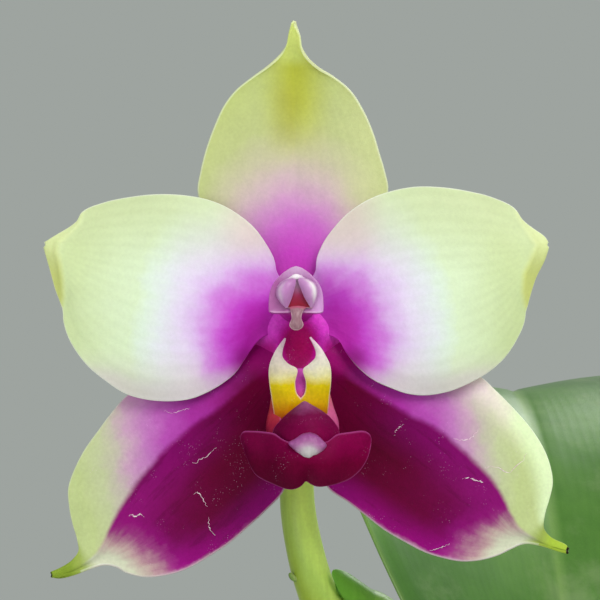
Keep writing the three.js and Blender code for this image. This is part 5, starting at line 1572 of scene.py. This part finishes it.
def leaf_surface(heading, half_width, sway, wave, phase, path):
    """A channelled leaf over its midrib, which drops, waves and sways aside toward its tip."""
    angle = math.radians(heading)
    midrib = spline(path)

    def at(u, v):
        centre = midrib(u)
        way = midrib(np.clip(u + 0.01, 0, 1)) - midrib(np.clip(u - 0.01, 0, 1))
        way /= np.linalg.norm(way, axis=-1, keepdims=True)
        width = value_along(LEAF_WIDTH, u)
        reach = half_width * width * v
        fold = np.radians(value_along(LEAF_FOLD, u))
        slope = (np.hypot(reach, LEAF_CHANNEL) - LEAF_CHANNEL) * np.sin(fold)
        droop = LEAF_DROOP * half_width * u * width
        ripple = wave * width * np.sin(2 * math.pi * LEAF_WAVES * u + phase + v)
        keel = 0.5 * np.exp(-((reach / 1.3) ** 2)) * step(u, 0.02, 0.2)
        lift = slope + (ripple - droop) * v * v - keel
        out = centre[..., 0] - way[..., 1] * lift
        up = centre[..., 1] + way[..., 0] * lift
        aside = reach * np.cos(fold) + sway * u * u
        x = math.cos(angle) * out - math.sin(angle) * aside
        y = math.sin(angle) * out + math.cos(angle) * aside
        return np.stack([x, y, up], -1)

    return at


# On these leaves the paler side is the back of the blade, and on the others its front
PALE_BACKED_LEAVES = ("leaf_2", "leaf_4")


def build_leaves():
    material = leaf_material()
    thick = lambda u, v: LEAF_THICK * (1 - 0.35 * np.abs(v) ** 2)
    for name, *shape in LEAVES:
        points, faces, values = blade_mesh(leaf_surface(*shape), 130, 64, thick)
        if name not in PALE_BACKED_LEAVES:
            values["face"] = 1 - values["face"]
        make_piece(name + "_blade", points, faces, material, name, "leaf_green", values)


# radius and height, from the foot of the stem to its top
STEM_PROFILE = [
    [0, 80], [4.6, 80], [6.4, 94], [7.8, 102], [7.0, 105], [7.9, 110], [6.8, 112], [7.4, 118], [6.2, 120],
    [6.4, 125], [4.2, 129], [2.2, 132.8], [0, 133],
]


def build_stem():
    radii = [[k, p[0]] for k, p in enumerate(STEM_PROFILE)]
    heights = [[k, p[1]] for k, p in enumerate(STEM_PROFILE)]
    walk = np.linspace(0.2, len(STEM_PROFILE) - 1.02, 110)
    profile = np.stack([np.maximum(value_along(radii, walk), 0.1), value_along(heights, walk)], -1)
    profile = [STEM_PROFILE[0]] + profile.tolist() + [STEM_PROFILE[-1]]
    points, faces = turned_mesh(profile, 64, wobble=0.18)
    make_piece("stem_sheaths", points, faces, stem_material(), "stem", "stem_sheath")


ROOTS = [
    ("root_1", [[0, 0, 100], [-14, -7, 101.5], [-28, -14, 102], [-38, -21, 95], [-41, -24, 84]]),
    ("root_2", [[0, 0, 98], [13, -6, 101.5], [27, -9, 103], [37, -17, 97], [40, -21, 85]]),
    ("root_3", [[0, 0, 98], [-5, 13, 101], [-13, 25, 102.5], [-18, 37, 97], [-19, 41, 86]]),
    ("root_4", [[0, 0, 100], [12, 9, 103], [20, 22, 103], [31, 29, 95], [34, 31, 85]]),
    ("root_5", [[0, 0, 105], [-16, 3, 108], [-34, 9, 111], [-50, 14, 112.5], [-61, 16, 111.2],
                [-67.5, 18, 103], [-67, 21, 88], [-62, 27, 72], [-60, 30, 58]]),
    ("root_6", [[0, 0, 95], [5, -12, 100], [12, -25, 102.5], [13, -38, 98], [10, -43, 86]]),
]
ROOT_RADIUS, ROOT_TIP = 2.9, 1.0


def root_radius(t):
    """Even, with slight swellings, and narrower over the last part, down to a round tip."""
    full = min(1.0, (1 - t) / 0.16)
    body = ROOT_TIP + (ROOT_RADIUS - ROOT_TIP) * math.sqrt(full)
    return (body + 0.25 * math.sin(23 * t)) * min(1.0, 0.15 + math.sqrt(max(0.0, 1 - t) * 40))


def build_roots():
    material = root_material()
    for k, (name, path) in enumerate(ROOTS):
        lumps = lambda turn, t: 1 + 0.035 * np.sin(2 * turn + 31 * t + k) + 0.02 * np.sin(5 * turn - 47 * t)
        points, faces, values = rod_mesh(spline(path), root_radius, 220, 32, lumps)
        make_piece(name + "_skin", points, faces, material, name, "root_silver", values)


# Bark chips

RANDOM_FACTOR, RANDOM_STEP, RANDOM_SPAN = 1664525, 1013904223, 2**32


def random_from(seed):
    """Numbers from 0 to 1, the same on every run."""
    state = seed
    while True:
        state = (state * RANDOM_FACTOR + RANDOM_STEP) % RANDOM_SPAN
        yield state / RANDOM_SPAN


def outer_at(z):
    """The radius of the pot's outside at a height below its rim."""
    return POT_FOOT + (POT_RADIUS - RIM_STEP - POT_FOOT) * z / (POT_HEIGHT - RIM_HEIGHT)


def inner_at(z):
    """The radius of the pot's inside at any height."""
    rim_foot = POT_HEIGHT - RIM_HEIGHT
    flare = POT_RADIUS - RIM_STEP + (z - rim_foot) * RIM_FLARE
    return np.where(z < rim_foot, outer_at(z), flare) - POT_WALL


LARGE_CHIP, LARGE_CHIP_LEAN = (22, 14, 9), 1.3  # length, width and height; and how far it may tilt
SMALL_CHIP, SMALL_CHIP_LEAN, SMALL_CHIPS = (9, 5.5, 3.2), 1.6, 150
SPIRAL_TURN = 2.39996  # radians from one large chip to the next, which spreads them evenly
BED_UNDER_CHIPS = 5.0
CORNERS = [(1, 1, 1), (1, 1, -1), (1, -1, 1), (1, -1, -1),
           (-1, 1, -1), (-1, 1, 1), (-1, -1, -1), (-1, -1, 1)]


def chip_points(corners, cuts, seed):
    """A rough block over eight corners, each face cut into squares and worn by layers and pits."""
    by_sign = {sign: corner for sign, corner in zip(CORNERS, corners)}
    t = np.linspace(-1, 1, cuts + 1)
    points, index, faces, depth = [], {}, [], []

    def corner_mix(x, y, z):
        total = np.zeros(3)
        for sign, corner in by_sign.items():
            share = (1 + sign[0] * x) * (1 + sign[1] * y) * (1 + sign[2] * z) / 8
            total += share * corner
        return total

    def number(x, y, z):
        key = (round(x, 5), round(y, 5), round(z, 5))
        if key not in index:
            index[key] = len(points)
            round_off = 1 - 0.05 * (x * x * y * y + y * y * z * z + z * z * x * x)
            wear = 1 + 0.05 * math.sin(5.1 * x + 3.3 * y * z + seed) * (1 - z * z * 0.5)
            notch = 0.045 * math.sin(z * 9 + seed + 1.5 * x) * (1 if abs(z) < 0.99 else 0.2)
            worn = round_off * (wear + notch)
            points.append(corner_mix(x * worn, y * worn, z * round_off))
            depth.append(z)
        return index[key]

    for axis in range(3):
        for end in (-1, 1):
            for i in range(cuts):
                for j in range(cuts):
                    ring = []
                    for a, b in ((t[i], t[j]), (t[i + 1], t[j]), (t[i + 1], t[j + 1]), (t[i], t[j + 1])):
                        spot = [a, b]
                        spot.insert(axis, end)
                        ring.append(number(*spot))
                    faces.append(ring[::-1] if (end == 1) == (axis == 1) else ring)
    return np.array(points), faces, np.array(depth)


def chip_block(random, size, lean, centre):
    """The corners of one chip: a block whose corners are pulled in, tilted and set in its place."""
    share = lambda: 0.7 + 0.6 * next(random)
    half = np.array([side * share() for side in size]) / 2
    corners = np.array([[side * k * share() for side, k in zip(half, corner)] for corner in CORNERS])
    tilt = [(next(random) - 0.5) * lean, (next(random) - 0.5) * lean, next(random) * 2 * math.pi]
    turn = np.array(Euler(tilt, "XYZ").to_matrix())
    return corners @ turn.T + centre


def scattered_chips():
    """Each chip's corners, cuts, seed and tone: the large chips first, then small ones on top of them."""
    reach = float(inner_at(BARK_LEVEL)) - BARK_INSET
    spot = lambda angle, out, height: np.array([math.cos(angle) * out, math.sin(angle) * out, height])
    large, small = random_from(BARK_SEED), random_from(BARK_SEED + 6)
    for k in range(BARK_CHIPS):
        out = reach * math.sqrt((k + 0.5) / BARK_CHIPS)
        height = BARK_LEVEL - 3 + BARK_CROWN * (1 - out / reach) + 3 * next(large)
        corners = chip_block(large, LARGE_CHIP, LARGE_CHIP_LEAN, spot(k * SPIRAL_TURN, out, height))
        yield corners, 8, k * 1.7, (k * 0.618) % 1
    for k in range(SMALL_CHIPS):
        out = (reach + 3) * math.sqrt(next(small))
        angle = 2 * math.pi * next(small)
        height = BARK_LEVEL + 0.5 + BARK_CROWN * (1 - out / reach) + 3.5 * next(small)
        corners = chip_block(small, SMALL_CHIP, SMALL_CHIP_LEAN, spot(angle, out, height))
        yield corners, 5, k * 0.9, (k * 0.377) % 1


def build_bark():
    material = bark_material()
    build_bark_chips(material)
    build_bark_bed(material)


def build_bark_chips(material):
    """All the chips, pulled in where they would stand in the pot's wall or over its rim."""
    points, faces, layers, tones = [], [], [], []
    count = 0
    for corners, cuts, seed, tone in scattered_chips():
        chip, chip_faces, depth = chip_points(corners, cuts, seed)
        far = np.hypot(chip[:, 0], chip[:, 1])
        limit = inner_at(chip[:, 2]) - 0.4
        chip[:, :2] *= np.minimum(1, limit / np.maximum(far, 1e-6))[:, None]
        chip[:, 2] = np.minimum(chip[:, 2], POT_HEIGHT - 0.2)
        points.append(chip)
        faces += [[count + k for k in face] for face in chip_faces]
        layers.append(depth * 2.2 + seed)
        tones.append(np.full(len(chip), tone))
        count += len(chip)
    values = {"layer": np.concatenate(layers), "tone": np.concatenate(tones)}
    make_piece("bark_chips", np.vstack(points), faces, material, "bark_medium", "bark_chips", values,
               corner=38)


def build_bark_bed(material):
    """The dark bed that fills the pot under the chips."""
    start, level, steps = POT_FLOOR + 0.5, BARK_LEVEL - BED_UNDER_CHIPS, np.linspace(0.05, 0.98, 20)
    profile = [[0, start]]
    profile += [[float(inner_at(z)) - 0.5, z] for z in np.linspace(start, level, 20)]
    profile += [[float(inner_at(level)) * (1 - t), level + BARK_CROWN * t] for t in steps]
    bed, faces = turned_mesh(profile + [[0, level + BARK_CROWN]], 72)
    top = bed[:, 2] > level - 1
    bed[top, 2] += 1.2 * np.sin(bed[top, 0] * 0.7) * np.cos(bed[top, 1] * 0.9)
    values = {"layer": bed[:, 2] * 0.4, "tone": np.full(len(bed), 0.15)}
    make_piece("bark_bed", bed, faces, material, "bark_medium", "bark_chips", values)


# Pot

FLAT_RINGS = (6, 14, 34)  # radii of the rings of points across both sides of the pot's floor
WALL_STEP = 2.5  # between rings of points on the pot's wall
DRAIN_HOLES, DRAIN_RADIUS, DRAIN_PLACE = 3, 5, 25  # the last is how far they lie from the middle
DRILL_START, DRILL_END = -5, 15


def pot_profile():
    """Half a section of the pot, from the middle of its underside to the middle of its floor."""
    edge, rim_foot, mouth = POT_EDGE, POT_HEIGHT - RIM_HEIGHT, float(inner_at(POT_HEIGHT))
    key = [
        [POT_FOOT - edge, 0], [POT_FOOT - 0.35 * edge, 0.35 * edge], [POT_FOOT, edge],
        [outer_at(rim_foot * 0.5), rim_foot * 0.5], [outer_at(rim_foot), rim_foot - 0.6],
        [outer_at(rim_foot) + 0.5, rim_foot], [POT_RADIUS - edge, rim_foot + 0.5],
        [POT_RADIUS - 0.4, rim_foot + 1.0], [POT_RADIUS - 0.1, rim_foot + 2.0],
        [POT_RADIUS, POT_HEIGHT - 2 * edge], [POT_RADIUS - 0.25, POT_HEIGHT - edge],
        [POT_RADIUS - 0.9, POT_HEIGHT - 0.3], [POT_RADIUS - 2.0, POT_HEIGHT],
        [mouth + 2.0, POT_HEIGHT], [mouth + 0.8, POT_HEIGHT - 0.4], [mouth, POT_HEIGHT - 1.6],
        [float(inner_at(rim_foot)), rim_foot], [float(inner_at(POT_FLOOR)), POT_FLOOR + 1.5],
        [float(inner_at(POT_FLOOR)) - 1.5, POT_FLOOR],
    ]
    profile = [[0, 0]] + [[radius, 0] for radius in FLAT_RINGS]
    for (r0, z0), (r1, z1) in zip(key[:-1], key[1:]):
        steps = max(1, int(math.hypot(r1 - r0, z1 - z0) / WALL_STEP))
        profile += [[r0 + (r1 - r0) * k / steps, z0 + (z1 - z0) * k / steps] for k in range(steps)]
    return profile + [key[-1]] + [[radius, POT_FLOOR] for radius in FLAT_RINGS[::-1]] + [[0, POT_FLOOR]]


def build_pot():
    """A turned pot, with throwing lines and a slightly uneven wall, then its drain holes."""
    points, faces = turned_mesh(pot_profile(), 160)
    radius = np.hypot(points[:, 0], points[:, 1])
    turn = np.arctan2(points[:, 1], points[:, 0])
    wall = (points[:, 2] > 3) & (points[:, 2] < POT_HEIGHT - 0.5) & (radius > POT_FOOT - 1)
    throwing = 0.09 * np.sin(points[:, 2] * 1.9 + 0.5 * np.sin(turn))
    uneven = 0.12 * np.sin(3 * turn + points[:, 2] * 0.05)
    points[:, :2] *= (1 + np.where(wall, throwing + uneven, 0) / np.maximum(radius, 1))[:, None]
    pot = make_piece("pot_body", points, faces, clay_material(), "pot", "pot_clay", corner=50)
    for k in range(DRAIN_HOLES):
        drill_hole(pot, (k + 0.5) / DRAIN_HOLES * 2 * math.pi)


def drill_hole(pot, angle):
    drill = [[0, DRILL_START], [DRAIN_RADIUS, DRILL_START], [DRAIN_RADIUS, DRILL_END], [0, DRILL_END]]
    points, faces = turned_mesh(drill, 40)
    points += np.array([math.cos(angle) * DRAIN_PLACE, math.sin(angle) * DRAIN_PLACE, 0])
    mesh = bpy.data.meshes.new("drill")
    mesh.from_pydata((points * MM).tolist(), [], faces)
    cut = pot.modifiers.new("drain_hole", "BOOLEAN")
    cut.object = placed("drill", mesh)
    cut.operation = "DIFFERENCE"
    cut.solver = "EXACT"
    bpy.context.view_layer.update()
    graph = bpy.context.evaluated_depsgraph_get()
    pierced = bpy.data.meshes.new_from_object(pot.evaluated_get(graph))
    cutter = cut.object
    pot.modifiers.remove(cut)
    pot.data = pierced
    bpy.data.objects.remove(cutter)


build_camera()
build_effects()
build_light()
build_floor()
surfaces = build_tepals()
build_scars(surfaces)
build_column()
build_throat()
build_anther()
build_lip()
build_stalks()
build_leaves()
build_stem()
build_roots()
build_bark()
build_pot()
